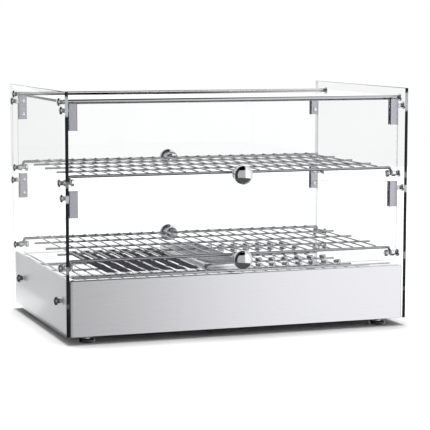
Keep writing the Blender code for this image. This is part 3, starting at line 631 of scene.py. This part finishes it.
def door_knob(face, level):
    """A polished knob on a waisted stem and a flange, with its bolt and washer inside the door."""
    node = f"{face}_{level}_knob"
    body = f"{face}_{level}_door"
    sign = FACES[face]
    low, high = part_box(node)
    pane_low, pane_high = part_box(f"{body}_glass")
    outer = (pane_high.y - pane_low.y) / 2 + GAP
    middle_y = (pane_low.y + pane_high.y) / 2
    reach = abs((high.y if sign > 0 else low.y) - middle_y) - outer
    radius = (high.x - low.x) / 2 * KNOB_SWELL
    widest = reach - KNOB_CROWN
    place = along_y((0, middle_y, (low.z + high.z) / 2), sign)
    crown = [(radius * math.sin(t), widest + KNOB_CROWN * math.cos(t)) for t in quarter_turn(14, 0.7)]
    belly = [(KNOB_NECK + (radius - KNOB_NECK) * math.cos(t), widest - KNOB_BELLY * math.sin(t))
             for t in quarter_turn(10)[1:]]
    stem = [(0.0062, 0.0086), (0.0062, 0.0042), (0.0068, 0.0028), (0.0082, 0.0022), (0.0100, 0.0021)]
    flange = [(0.0105, 0.0016), (0.0105, 0.0003), (0.0102, 0.0)]
    profile = [(r, outer + h) for r, h in crown + belly + stem + flange]
    profile += [(SHANK, outer), (SHANK, -outer), (0.0028, -outer - 0.0002)]
    bm = bmesh.new()
    turned(bm, profile, place, 64)
    piece(f"{face}_{level}_round_knob", bm, KNOB_CHROME, body, [node], 40)
    washer = [(0.0031, 0.0), (0.0066, 0.0), (0.0070, 0.0003), (0.0070, 0.0012), (0.0066, 0.0015)]
    bolt_end = [(0.0036, 0.0015), (0.0036, 0.0020), (0.0034, 0.0030), (0.0026, 0.0035)]
    bolt = bmesh.new()
    turned(bolt, [(r, -outer - depth) for r, depth in washer + bolt_end], place)
    piece(f"{face}_{level}_knob_bolt", bolt, CHROME, body)


def screw_head(bm, place):
    """A low cross-headed screw, its recess pressed into the crown."""
    head = bmesh.new()
    turned(head, dome(SCREW_RADIUS, SCREW_HEIGHT, 0.35, 5) + [(SCREW_RADIUS * 0.6, -0.0008)], place, 28)
    arm, half = SCREW_RADIUS * 0.55, SCREW_RADIUS * 0.13
    quarter = [(arm, -half), (arm, half), (half, half)]
    corners = list(quarter)
    for _ in range(3):
        quarter = [(-y, x) for x, y in quarter]
        corners += quarter
    cross = bmesh.new()
    loft(cross, [[place @ Vector((x * size, y * size, SCREW_HEIGHT * up)) for x, y in corners]
                 for size, up in ((0.5, 0.35), (1.0, 1.5))])
    head = combine(head, cross, "DIFFERENCE")
    mesh = bpy.data.meshes.new("scratch")
    head.to_mesh(mesh)
    head.free()
    bm.from_mesh(mesh)
    bpy.data.meshes.remove(mesh)


def door_clamp(face, level, side):
    """A satin clamp with softened edges, and two screws in its inner cheek."""
    body = f"{face}_{level}_door"
    node = f"{body}_{side}_clamp"
    low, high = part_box(node)
    pane_low, pane_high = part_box(f"{body}_glass")
    middle_y = (low.y + high.y) / 2
    cheek = (high.y - low.y) / 2
    slot = (pane_high.y - pane_low.y) / 2 + GAP
    core = high.z - CLAMP_CORE
    outline = [(-cheek, low.z), (-slot, low.z), (-slot, core), (slot, core),
               (slot, low.z), (cheek, low.z), (cheek, high.z), (-cheek, high.z)]
    bm = bmesh.new()
    loft(bm, [[(x, middle_y + y, z) for y, z in outline] for x in (low.x, high.x)])
    bevel_edges(bm, 0.0005, 3)
    pin = centre(f"{face}_{level}_{side}_hinge_pin")
    bore = bmesh.new()
    outer_x = high.x if side == "right" else low.x
    drilled(bore, SPIGOT_BORE, SPIGOT_REACH + 0.0005, along_x((outer_x, middle_y, pin.z)))
    bm = combine(bm, bore, "DIFFERENCE")
    bm.normal_update()
    # end faces across X take the black second material
    for wall in bm.faces:
        if abs(wall.normal.x) > SQUARE:
            wall.material_index = 1
    piece(f"{node}_milled", bm, [CLAMP, CLAMP_SIDE], body, [node])
    screws = bmesh.new()
    inwards = -FACES[face]
    x = (low.x + high.x) / 2
    for z in (low.z + 0.008, high.z - 0.010):
        screw_head(screws, along_y((x, middle_y + inwards * cheek, z), inwards))
    piece(f"{node}_screws", screws, CHROME, body)


# --- Racks ---
EDGE_WIRE = 0.0023
LONG_WIRE = 0.0016
CROSS_WIRE = 0.00125
CROSS_WIRE_COUNT = 25
CROSS_WIRE_PITCH = 0.020
LONG_WIRE_PITCH = 0.0735
LONG_WIRE_REACH = 0.2630
WELD_SINK = 0.0009  # how far crossing wires melt into each other
HOOK_FROM_HEAD = 0.0026  # from a shelf pin's head to the wire hooked behind it
HOOK_START, HOOK_END, HOOK_STEPS = 12, 105, 9  # degrees round the pin


def rack(level):
    """A welded rack: hooked edge wires, cross wires on top of them, and long wires under those."""
    node = f"{level}_rack"
    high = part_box(node)[1]
    cross_z = high.z - CROSS_WIRE
    edge_z = cross_z - CROSS_WIRE - EDGE_WIRE + WELD_SINK
    long_z = cross_z - CROSS_WIRE - LONG_WIRE + WELD_SINK
    pins = {face: centre(f"{face}_{level}_right_shelf_pin") for face in FACES}
    hook_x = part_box(f"front_{level}_right_shelf_pin")[0].x + HEAD_LENGTH + HOOK_FROM_HEAD
    wrap = SHANK + EDGE_WIRE + GAP
    bm = bmesh.new()
    for face, sign in FACES.items():
        y = pins[face].y
        half = [(hook_x - 0.016, y, edge_z), (hook_x - 0.0030, y, edge_z)]
        half += [(hook_x - 0.0012, y, edge_z - 0.0002), (hook_x - 0.0003, y + sign * 0.0006, edge_z - 0.0012)]
        for step in range(HOOK_STEPS + 1):
            angle = math.radians(HOOK_START + (HOOK_END - HOOK_START) * step / HOOK_STEPS)
            around = (sign * wrap * math.sin(angle), wrap * math.cos(angle))
            half.append((hook_x, y + around[0], pins[face].z + around[1]))
        swept(bm, [(-x, along, z) for x, along, z in reversed(half)] + half, EDGE_WIRE, 16)
    for row in (-1, 0, 1):
        y = (pins["front"].y + pins["rear"].y) / 2 + row * LONG_WIRE_PITCH
        swept(bm, [(-LONG_WIRE_REACH, y, long_z), (LONG_WIRE_REACH, y, long_z)], LONG_WIRE, 14)
    for i in range(CROSS_WIRE_COUNT):
        x = (i - (CROSS_WIRE_COUNT - 1) / 2) * CROSS_WIRE_PITCH
        swept(bm, [(x, pins[face].y, cross_z) for face in FACES], CROSS_WIRE, 10)
    piece(f"{level}_wire_rack", bm, SHADED_RACK_WIRE, node, [node], 50)


# --- Base ---
CASING_BEND = 0.003
CASING_CORNER = 0.005
CUT_EDGE = 0.0003  # softening of the sheet's lower edge
CASING_LIP_X, CASING_LIP_Y = 0.022, 0.044  # how far the casing turns in under the deck
SWITCH_HOLE_X, SWITCH_HOLE_Z = 0.0071, 0.0104
GLAND_HOLE = 0.0083


def base_casing():
    """The folded casing, with rounder bends than the frame's and clean cut-outs."""
    low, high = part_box("base_casing")
    outer_x, outer_y = high.x, (high.y - low.y) / 2
    bend_z = high.z - CASING_BEND

    def ring(inset_x, inset_y, radius, z):
        return round_rectangle(outer_x - inset_x, outer_y - inset_y, radius, z, 6, (0, CASE_Y))

    outside = [ring(CUT_EDGE, CUT_EDGE, CASING_CORNER, low.z), ring(0, 0, CASING_CORNER, low.z + CUT_EDGE)]
    for angle in quarter_turn(6):
        inset = CASING_BEND * (1 - math.cos(angle))
        z = bend_z + CASING_BEND * math.sin(angle)
        outside.append(ring(inset, inset, CASING_CORNER - inset * 0.3, z))
    lip = [ring(CASING_LIP_X, CASING_LIP_Y, CASING_CORNER, z) for z in (high.z, high.z - SHEET)]
    inside = []
    for angle in reversed(quarter_turn(4)):
        bend = CASING_BEND - SHEET
        inset = CASING_BEND - bend * math.cos(angle)
        inside.append(ring(inset, inset, CASING_CORNER - 0.0014, bend_z + bend * math.sin(angle)))
    inside.append(ring(SHEET, SHEET, CASING_CORNER - SHEET, low.z))
    bm = bmesh.new()
    loft(bm, outside + lip + inside, closed=True)
    cuts = bmesh.new()
    for face in FACES:
        for side, sign in SIDES.items():
            middle = centre(f"{face}_{side}_base_screw")
            drilled(cuts, BORE, THROUGH_SHEET, along_x((sign * outer_x, middle.y, middle.z)))
    dial, gland, switch = centre("thermostat_knob"), centre("cord_gland"), centre("power_switch")
    drilled(cuts, BORE, THROUGH_SHEET, along_y((dial.x, REAR_PANEL, dial.z)))
    drilled(cuts, GLAND_HOLE, THROUGH_SHEET, along_y((gland.x, REAR_PANEL, gland.z)), 32)
    half = Vector((SWITCH_HOLE_X, THROUGH_SHEET, SWITCH_HOLE_Z))
    hole = Vector((switch.x, REAR_PANEL, switch.z))
    block(cuts, hole - half, hole + half)
    bm = combine(bm, cuts, "DIFFERENCE")
    bm.normal_update()
    for face in bm.faces:
        if face.normal.z > 0.9:
            face.material_index = 1
    piece("base_folded_casing", bm, [BASE_STEEL, DECK_STEEL], "case", ["base_casing"], 28)


DECK_PITCH = 0.0223
DECK_COLUMNS = 7
SLOT_CENTRE = -0.1223
SLOT_HALF = (0.0098, 0.127)
SLOT_CORNER = 0.0045
BLADE_RUN = 0.0115
BLADE_DROP = 0.0060
BLADE_THICKNESS = 0.0009
HOLE_CENTRE = 0.1185
HOLE_RADIUS = 0.0045
HOLE_ROW_PITCH = 0.0595
HOLE_ROWS = 5
DECK_CORNER = 0.006
TRAY_RIM = 0.0045  # width of the bead round the tray
TRAY_RIM_HEIGHT = 0.0055
TRAY_DRAFT = 0.002
TRAY_CORNER = 0.008


def deck_columns(middle):
    return [middle + (i - (DECK_COLUMNS - 1) / 2) * DECK_PITCH for i in range(DECK_COLUMNS)]


def hole_centres():
    rows = [CASE_Y + (row - (HOLE_ROWS - 1) / 2) * HOLE_ROW_PITCH for row in range(HOLE_ROWS)]
    return [(x, y) for x in deck_columns(HOLE_CENTRE) for y in rows]


def deck_plate():
    """The deck, with its rounded slots, the tray's opening and the holes."""
    low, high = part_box("deck_plate")
    top = low.z + BLADE_DROP + SHEET
    half_x, half_y = high.x, (high.y - low.y) / 2
    edge = ((0.0002, top - SHEET), (0.0, top - SHEET + 0.0002), (0.0, top - 0.0004), (0.0004, top))
    bm = bmesh.new()
    loft(bm, [round_rectangle(half_x - inset, half_y - inset, DECK_CORNER, z, 6, (0, CASE_Y))
              for inset, z in edge])
    cuts = bmesh.new()
    flare = ((-0.0006, -0.0032), (-0.0006, -0.0008), (0.0, 0.0), (0.0006, 0.0012))
    for x in deck_columns(SLOT_CENTRE):
        loft(cuts, [round_rectangle(SLOT_HALF[0] + wider, SLOT_HALF[1] + wider, SLOT_CORNER + wider, top + z,
                                    8, (x, CASE_Y)) for wider, z in flare])
    for x, y in hole_centres():
        drilled(cuts, HOLE_RADIUS, THROUGH_SHEET, Matrix.Translation((x, y, top)))
    tray_low, tray_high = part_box("water_tray")
    open_x, open_y = tray_high.x - TRAY_RIM + GAP, (tray_high.y - tray_low.y) / 2 - TRAY_RIM + GAP
    loft(cuts, [round_rectangle(open_x, open_y, TRAY_CORNER, top + z, 6, (0, CASE_Y))
                for z in (-THROUGH_SHEET, THROUGH_SHEET)])
    bm = combine(bm, cuts, "DIFFERENCE")
    piece("deck_sheet", bm, DECK_STEEL, "case", ["deck_plate"], 28)
    louvre_blades(top)
    hole_collars(top)


def hole_collars(top):
    """The raised, rolled collar round each hole."""
    inner = [(0.0, -0.0010), (0.0, 0.0018), (0.0003, 0.0024), (0.0007, 0.0024)]
    outer = [(0.0010, 0.0019), (0.0014, 0.0008), (0.0019, 0.0001), (0.0019, -0.0003)]
    bm = bmesh.new()
    for x, y in hole_centres():
        place = Matrix.Translation((x, y, top))
        loft(bm, [circle(HOLE_RADIUS + out, up, 24, place) for out, up in inner + outer], closed=True)
    piece("deck_hole_collars", bm, COLLAR_STEEL, "case")


def louvre_blades(top):
    """Under the right edge of each slot, the sheet that rolls down and inwards, near-black and matt as
    painted shade for the slot's inside.
    """
    over = [(0.0004, -0.0003), (-0.0006, -0.0008), (-0.0018, -0.0017), (-BLADE_RUN, -BLADE_DROP - 0.0002)]
    outline = over + [(x, z - BLADE_THICKNESS) for x, z in reversed(over)]
    half = SLOT_HALF[1] - 0.004
    bm = bmesh.new()
    for middle in deck_columns(SLOT_CENTRE):
        edge = middle + SLOT_HALF[0]
        loft(bm, [[(edge + x, CASE_Y + y, top + z) for x, z in outline] for y in (-half, half)])
    piece("deck_louvre_blades", bm, SHADED_BLADE_SHEET, "case")


def water_tray():
    """The pressed tray: drafted walls, a round bottom bend and a raised bead round its rim."""
    low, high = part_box("water_tray")
    half_x, half_y = high.x - TRAY_RIM, (high.y - low.y) / 2 - TRAY_RIM
    seat = high.z - TRAY_RIM_HEIGHT + GAP
    bead = (TRAY_RIM + SHEET) / 2
    crest = high.z - bead
    corner = TRAY_CORNER

    def ring(out, z, radius):
        return round_rectangle(half_x + out, half_y + out, radius, z, 8, (0, CASE_Y))

    bottom = [(0.0030, 0.0, 0.005), (0.0010, 0.0006, 0.006), (0.0, 0.0022, 0.007)]
    rings = [ring(-TRAY_DRAFT - inset, low.z + up, radius) for inset, up, radius in bottom]
    rings += [ring(0, seat, corner), ring(0, crest, corner)]
    hollow = bead - SHEET
    for angle in (math.pi * step / 8 for step in range(1, 8)):
        out, up = TRAY_RIM / 2 - hollow * math.cos(angle), hollow * math.sin(angle) * 0.9
        rings.append(ring(out, crest + up, corner + 0.001))
    rings += [ring(TRAY_RIM - SHEET, z, corner + 0.002) for z in (crest, seat)]
    rings += [ring(TRAY_RIM, z, corner + 0.003) for z in (seat, crest)]
    for angle in (math.pi * step / 10 for step in range(1, 10)):
        out, up = (TRAY_RIM - SHEET) / 2 + bead * math.cos(angle), bead * math.sin(angle)
        rings.append(ring(out, crest + up, corner + 0.001))
    rings += [ring(-SHEET, z, corner - 0.001) for z in (crest, seat)]
    basin = [(0.0011, 0.0036, 0.006), (0.0022, 0.0020, 0.005), (0.0046, SHEET, 0.004)]
    rings += [ring(-TRAY_DRAFT - inset, low.z + up, radius) for inset, up, radius in basin]
    bm = bmesh.new()
    loft(bm, rings)
    piece("water_tray_pressed", bm, TRAY_STEEL, "water_tray", ["water_tray"], 28)


def foot(face, side):
    """A levelling foot: a black pad with a soft edge, and a bright stem and nut."""
    node = f"{face}_{side}_foot"
    middle = centre(node)
    place = Matrix.Translation((middle.x, middle.y, 0))
    flank = [(0.0118, 0.0), (0.0126, 0.0004), (0.0130, 0.0014), (0.0130, 0.0030), (0.0126, 0.0044)]
    crown = [(0.0112, 0.0053), (0.0084, 0.0057), (0.0050, 0.0058)]
    bm = bmesh.new()
    turned(bm, flank + crown, place, 48)
    piece(f"{node}_pad", bm, FOOT_BLACK, "case", [node])
    under = CASE_Z + 0.0007  # the underside of the bottom plate
    stem = [(0.0066, 0.0059), (0.0066, 0.0066), (0.0050, 0.0074), (0.0046, 0.0086), (0.0046, under - 0.0034)]
    nut = [(0.0074, under - 0.0032), (0.0078, under - 0.0028), (0.0078, under - 0.0003), (0.0074, under)]
    stud = [(SHANK, under), (SHANK, under + 0.0076), (SHANK - 0.0004, under + 0.0080)]
    bm = bmesh.new()
    turned(bm, stem + nut + stud, place, 36)
    piece(f"{node}_stem", bm, CHROME, "case")


ROD_CHAMFER = 0.0004
GROOVE_START, GROOVE_END = 0.0022, 0.0080  # from the rod's axis towards the top glass
GROOVE_HALF = 0.0023


def top_rod(face):
    """A top rod with its groove for the top glass, and soft ends."""
    node = f"{face}_top_rod"
    low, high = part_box(node)
    middle = (low + high) / 2
    end = high.x
    radius = (high.z - low.z) / 2
    profile = [(radius - ROD_CHAMFER, -end), (radius, ROD_CHAMFER - end)]
    profile += [(radius, end - ROD_CHAMFER), (radius - ROD_CHAMFER, end)]
    bm = bmesh.new()
    turned(bm, profile, along_x(middle))
    near, far = sorted(middle.y - FACES[face] * reach for reach in (GROOVE_START, GROOVE_END))
    groove = bmesh.new()
    block(groove, (-HALF_WIDTH, near, middle.z - GROOVE_HALF), (HALF_WIDTH, far, middle.z + GROOVE_HALF))
    bm = combine(bm, groove, "DIFFERENCE")
    # darkened front chrome and lightened rear chrome: painted shade and painted reflection
    finish = FRONT_ROD_SHADED_CHROME if face == "front" else REAR_ROD_LIGHTENED_CHROME
    piece(f"{face}_chrome_rod", bm, finish, "case", [node])


def finish_node(node, material):
    """Gives a carried-over CAD node its material."""
    slots = frame["nodes"][node].data.materials
    if not slots:
        slots.append(material)
    for index in range(len(slots)):
        slots[index] = material


# --- Rear controls ---
DIAL_FLUTES = 36
FLUTE_DEPTH = 0.0007
DIAL_BORE_DEPTH = 0.0093
GRIP_HALF = 0.0045
POINTER_HALF = 0.0006
ROCKER_OPENING = 0.0075  # half the bezel's opening across X
BEZEL_TALLER = 0.0033  # how much more than that it is along Z
GLAND_RIBS = 4
GLAND_MOUTH = 0.0030
GLAND_FLANGE = 0.0110
SCALE_MARKS = 10
SCALE_SWEEP = 270  # degrees
SCALE_START, SCALE_SHORT, SCALE_LONG = 0.0205, 0.0235, 0.0250
PRINT_THICKNESS = 0.00012


def thermostat_dial():
    """The dial's knob, fluted round its skirt, with a grip bar and a white pointer line."""
    low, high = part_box("thermostat_knob")
    middle = (low + high) / 2
    radius = (high.x - low.x) / 2
    profile = [(radius, low.y), (radius, low.y + 0.0035)]
    profile += [(radius * 0.93, high.y - 0.0088), (radius * 0.86, high.y - 0.0078)]
    rings = []
    for full, y in profile:
        ring = []
        for i in range(DIAL_FLUTES * 4):
            angle = 2 * math.pi * i / (DIAL_FLUTES * 4)
            flute = FLUTE_DEPTH / 2 * (1 - math.cos(angle * DIAL_FLUTES)) if y > low.y else 0.0
            r = full - flute
            ring.append((middle.x + r * math.cos(angle), y, middle.z + r * math.sin(angle)))
        rings.append(ring)
    bm = bmesh.new()
    loft(bm, rings)
    grip = bmesh.new()
    grip_z = radius * 0.84
    block(grip, (middle.x - GRIP_HALF, low.y + 0.004, middle.z - grip_z),
          (middle.x + GRIP_HALF, high.y, middle.z + grip_z))
    bevel_edges(grip, 0.0014, 3)
    bm = combine(bm, grip, "UNION")
    bore = bmesh.new()
    turned(bore, [(BORE, -0.001), (BORE, DIAL_BORE_DEPTH)], along_y((middle.x, low.y, middle.z)), 24)
    bm = combine(bm, bore, "DIFFERENCE")
    body = "thermostat_knob"
    piece("thermostat_dial_knob", bm, BLACK_PLASTIC, body, [body], 40)
    line = bmesh.new()
    block(line, (middle.x - POINTER_HALF, high.y - 0.0006, middle.z + radius * 0.20),
          (middle.x + POINTER_HALF, high.y + 0.00008, middle.z + radius * 0.72))
    piece("thermostat_pointer", line, PRINT_WHITE, body)


def switch_rocker():
    """The red rocker with rounded edges, in a black bezel."""
    node = frame["nodes"]["power_switch"]
    bm = bmesh.new()
    bm.from_mesh(node.data)
    bmesh.ops.remove_doubles(bm, verts=bm.verts, dist=1e-6)
    bmesh.ops.dissolve_limit(bm, angle_limit=math.radians(1), verts=bm.verts, edges=bm.edges)
    bevel_edges(bm, 0.0006, 3, angle=20)
    piece("power_rocker", bm, RED_ROCKER, "power_switch", ["power_switch"])
    middle = centre("power_switch")
    profile = [(0.0, 0.0), (0.0, 0.0016), (0.0005, 0.0020), (0.0016, 0.0018), (0.0023, 0.0010), (0.0025, 0.0)]
    rings = []
    for wider, out in profile:
        half = ROCKER_OPENING + wider
        ring = round_rectangle(half, half + BEZEL_TALLER, 0.0012, REAR_PANEL + 0.0002 + out, 4)
        rings.append([(middle.x + x, y, middle.z + z) for x, z, y in ring])
    bm = bmesh.new()
    loft(bm, rings, closed=True)
    piece("power_switch_bezel", bm, BLACK_PLASTIC, "case")


def cord_gland():
    """The empty cord gland: a flange, a ribbed tapered sleeve and its open mouth."""
    middle = centre("cord_gland")
    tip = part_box("cord_gland")[1].y
    profile = [(GLAND_MOUTH, tip - 0.0060), (GLAND_MOUTH, tip - 0.0003)]
    profile += [(0.0036, tip), (0.0056, tip), (0.0062, tip - 0.0005)]
    for i in range(GLAND_RIBS):
        y = tip - 0.0014 - i * 0.0022
        r = 0.0066 + i * 0.0005
        profile += [(r, y), (r, y - 0.0010), (r - 0.0009, y - 0.0012), (r - 0.0009, y - 0.0020)]
    flange = [(0.0080, 0.0050), (0.0104, 0.0045), (GLAND_FLANGE, 0.0038), (GLAND_FLANGE, GAP)]
    inside = [(0.0080, GAP), (0.0080, -0.0015), (GLAND_FLANGE, -0.0015), (GLAND_FLANGE, -0.0060)]
    inside.append((GLAND_MOUTH, -0.0060))
    profile += [(r, REAR_PANEL + out) for r, out in flange + inside]
    place = along_y((middle.x, 0, middle.z))
    bm = bmesh.new()
    loft(bm, [circle(r, y, 40, place) for r, y in profile], closed=True)
    piece("cord_gland_sleeve", bm, BLACK_PLASTIC, "case", ["cord_gland"])


def dial_scale():
    """A plain printed scale round the dial: short marks, and longer ones every third."""
    middle = centre("thermostat_knob")
    on_panel = Vector((middle.x, REAR_PANEL, middle.z))
    bm = bmesh.new()
    for i in range(SCALE_MARKS):
        angle = math.radians(90 - SCALE_SWEEP * i / (SCALE_MARKS - 1))
        end, half = (SCALE_SHORT, 0.00045) if i % 3 else (SCALE_LONG, 0.0007)
        out = Vector((-math.cos(angle), 0, math.sin(angle)))
        across = Vector((math.sin(angle), 0, math.cos(angle)))
        spots = ((SCALE_START, half), (end, half), (end, -half), (SCALE_START, -half))
        corners = [on_panel + out * r + across * side for r, side in spots]
        loft(bm, [[corner + Vector((0, y, 0)) for corner in corners] for y in (0.0, PRINT_THICKNESS)])
    piece("dial_scale_marks", bm, BLACK_PLASTIC, "case")


# --- The whole object ---
for side in SIDES:
    side_glass(side)
    for face in FACES:
        foot(face, side)
        rod_screw(face, side)
        base_screw(face, side)
        for level in LEVELS:
            hinge_pin(face, level, side)
            shelf_pin(face, level, side)
            door_clamp(face, level, side)

for face in FACES:
    top_rod(face)
    for level in LEVELS:
        door_pane(face, level)
        door_knob(face, level)

for level in LEVELS:
    rack(level)

top_glass()
base_casing()
deck_plate()
water_tray()
thermostat_dial()
switch_rocker()
cord_gland()
dial_scale()
# bottom plate darkened grey: partly painted shade
finish_node("bottom_plate", SHADED_BOTTOM_STEEL)
finish_node("heating_element", HEATER)
finish_node("thermostat", PHENOLIC)


# --- Studio ---
CAMERA_FROM_CASE = Vector((-0.9066, -2.6026, 0.4646))  # from the middle of the glass, at its lower edge
CAMERA_YAW = math.radians(19.60)
CAMERA_PITCH = math.radians(6.42)
CAMERA_ROLL = math.radians(0.12)
CAMERA_LENS, CAMERA_SENSOR = 142.9, 36.0  # mm
FLOOR_RADIUS = 3.0
KEY_STRENGTH = 3.7
KEY_SPREAD = math.radians(45)
KEY_TILT = (math.radians(-12), 0, math.radians(4))
MATT_LIGHT = 0.50  # how bright the studio is to matt surfaces
UNDER_LIGHT = 0.10  # how bright it is to metal that mirrors what is below


def camera():
    made = bpy.data.objects.new("camera", bpy.data.cameras.new("camera"))
    made.data.lens = CAMERA_LENS
    made.data.sensor_width = CAMERA_SENSOR
    made.data.clip_start, made.data.clip_end = 0.05, 50.0
    made.location = CAMERA_FROM_CASE + Vector((0, CASE_Y, CASE_Z))
    turn = Matrix.Rotation(-CAMERA_YAW, 4, "Z") @ Matrix.Rotation(math.pi / 2 - CAMERA_PITCH, 4, "X")
    made.rotation_euler = (turn @ Matrix.Rotation(CAMERA_ROLL, 4, "Z")).to_euler()
    bpy.context.scene.collection.objects.link(made)
    bpy.context.scene.camera = made


def floor():
    """A round white floor under the case. Metal mirrors the studio below it instead."""
    bm = bmesh.new()
    turned(bm, [(FLOOR_RADIUS, -0.004), (FLOOR_RADIUS, 0.0)], Matrix.Translation((0, CASE_Y, -0.0002)), 96)
    mesh = bpy.data.meshes.new("floor")
    bm.to_mesh(mesh)
    bm.free()
    look = Finish("floor", (0.86, 0.86, 0.86), 0.9, 0.0, Specular_IOR_Level=0.0)
    look.vary_roughness(look.noise(40.0), 0.85, 0.95)
    mesh.materials.append(look.material)
    made = bpy.data.objects.new("floor", mesh)
    made.visible_glossy = False
    bpy.context.scene.collection.objects.link(made)


def key_light():
    """A broad soft light from nearly overhead, a little behind the case."""
    made = bpy.data.objects.new("key", bpy.data.lights.new("key", "SUN"))
    made.data.energy = KEY_STRENGTH
    made.data.angle = KEY_SPREAD
    made.rotation_euler = KEY_TILT
    made.visible_glossy = False
    bpy.context.scene.collection.objects.link(made)


def world():
    """White to the eye, dim to matt surfaces, and a studio of light and dark for the metal."""
    made = bpy.data.worlds.new("studio")
    bpy.context.scene.world = made
    made.use_nodes = True
    made.node_tree.nodes.clear()
    nodes = Nodes(made.node_tree)

    def times(first, second):
        return nodes.maths("MULTIPLY", first, second)

    def besides(value):
        return nodes.maths("SUBTRACT", 1.0, value)

    def blend(share, inside, outside):
        return nodes.maths("ADD", times(share, inside), times(besides(share), outside))

    def between(*limits):
        return nodes.remap(*limits, interpolation_type="SMOOTHSTEP")

    direction = nodes.node("ShaderNodeTexCoord").outputs["Generated"]
    x, y, z = nodes.node("ShaderNodeSeparateXYZ", {0: direction}).outputs
    # in front of the case, dim on the left and bright on the right
    front = between(y, -0.38, -0.20, 1.0, 0.0)
    front_level = between(x, 0.16, 0.36, 0.52, 1.30)
    # dark flags beside the case on the left, and overhead
    left_flag = times(between(x, -0.20, -0.08, 1.0, 0.0), between(y, 0.55, 0.75, 0.97, 0.28))
    top_flag = times(between(z, 0.68, 0.82, 0.0, 1.0), between(x, 0.30, 0.45, 1.0, 0.0))
    # a glow behind the case on the right, which the deck mirrors
    glow = times(between(x, 0.12, 0.28, 0.0, 0.28), between(y, 0.85, 0.92, 0.0, 1.0))
    around = blend(front, front_level, besides(left_flag))
    above_floor = nodes.maths("ADD", times(around, besides(top_flag)), glow)
    studio = blend(between(z, -0.50, -0.38, 1.0, 0.0), UNDER_LIGHT, above_floor)
    path = nodes.node("ShaderNodeLightPath")
    matt, seen = path.outputs["Is Diffuse Ray"], path.outputs["Is Camera Ray"]
    mirrored = besides(nodes.maths("MAXIMUM", seen, matt))
    plain = nodes.maths("ADD", seen, times(matt, MATT_LIGHT))
    strength = nodes.maths("ADD", plain, times(studio, mirrored))
    shade = nodes.node("ShaderNodeBackground", {"Color": (1, 1, 1, 1), "Strength": strength})
    nodes.node("ShaderNodeOutputWorld", {"Surface": shade.outputs[0]})


camera()
floor()
key_light()
world()
bpy.context.scene.view_settings.view_transform = "Standard"
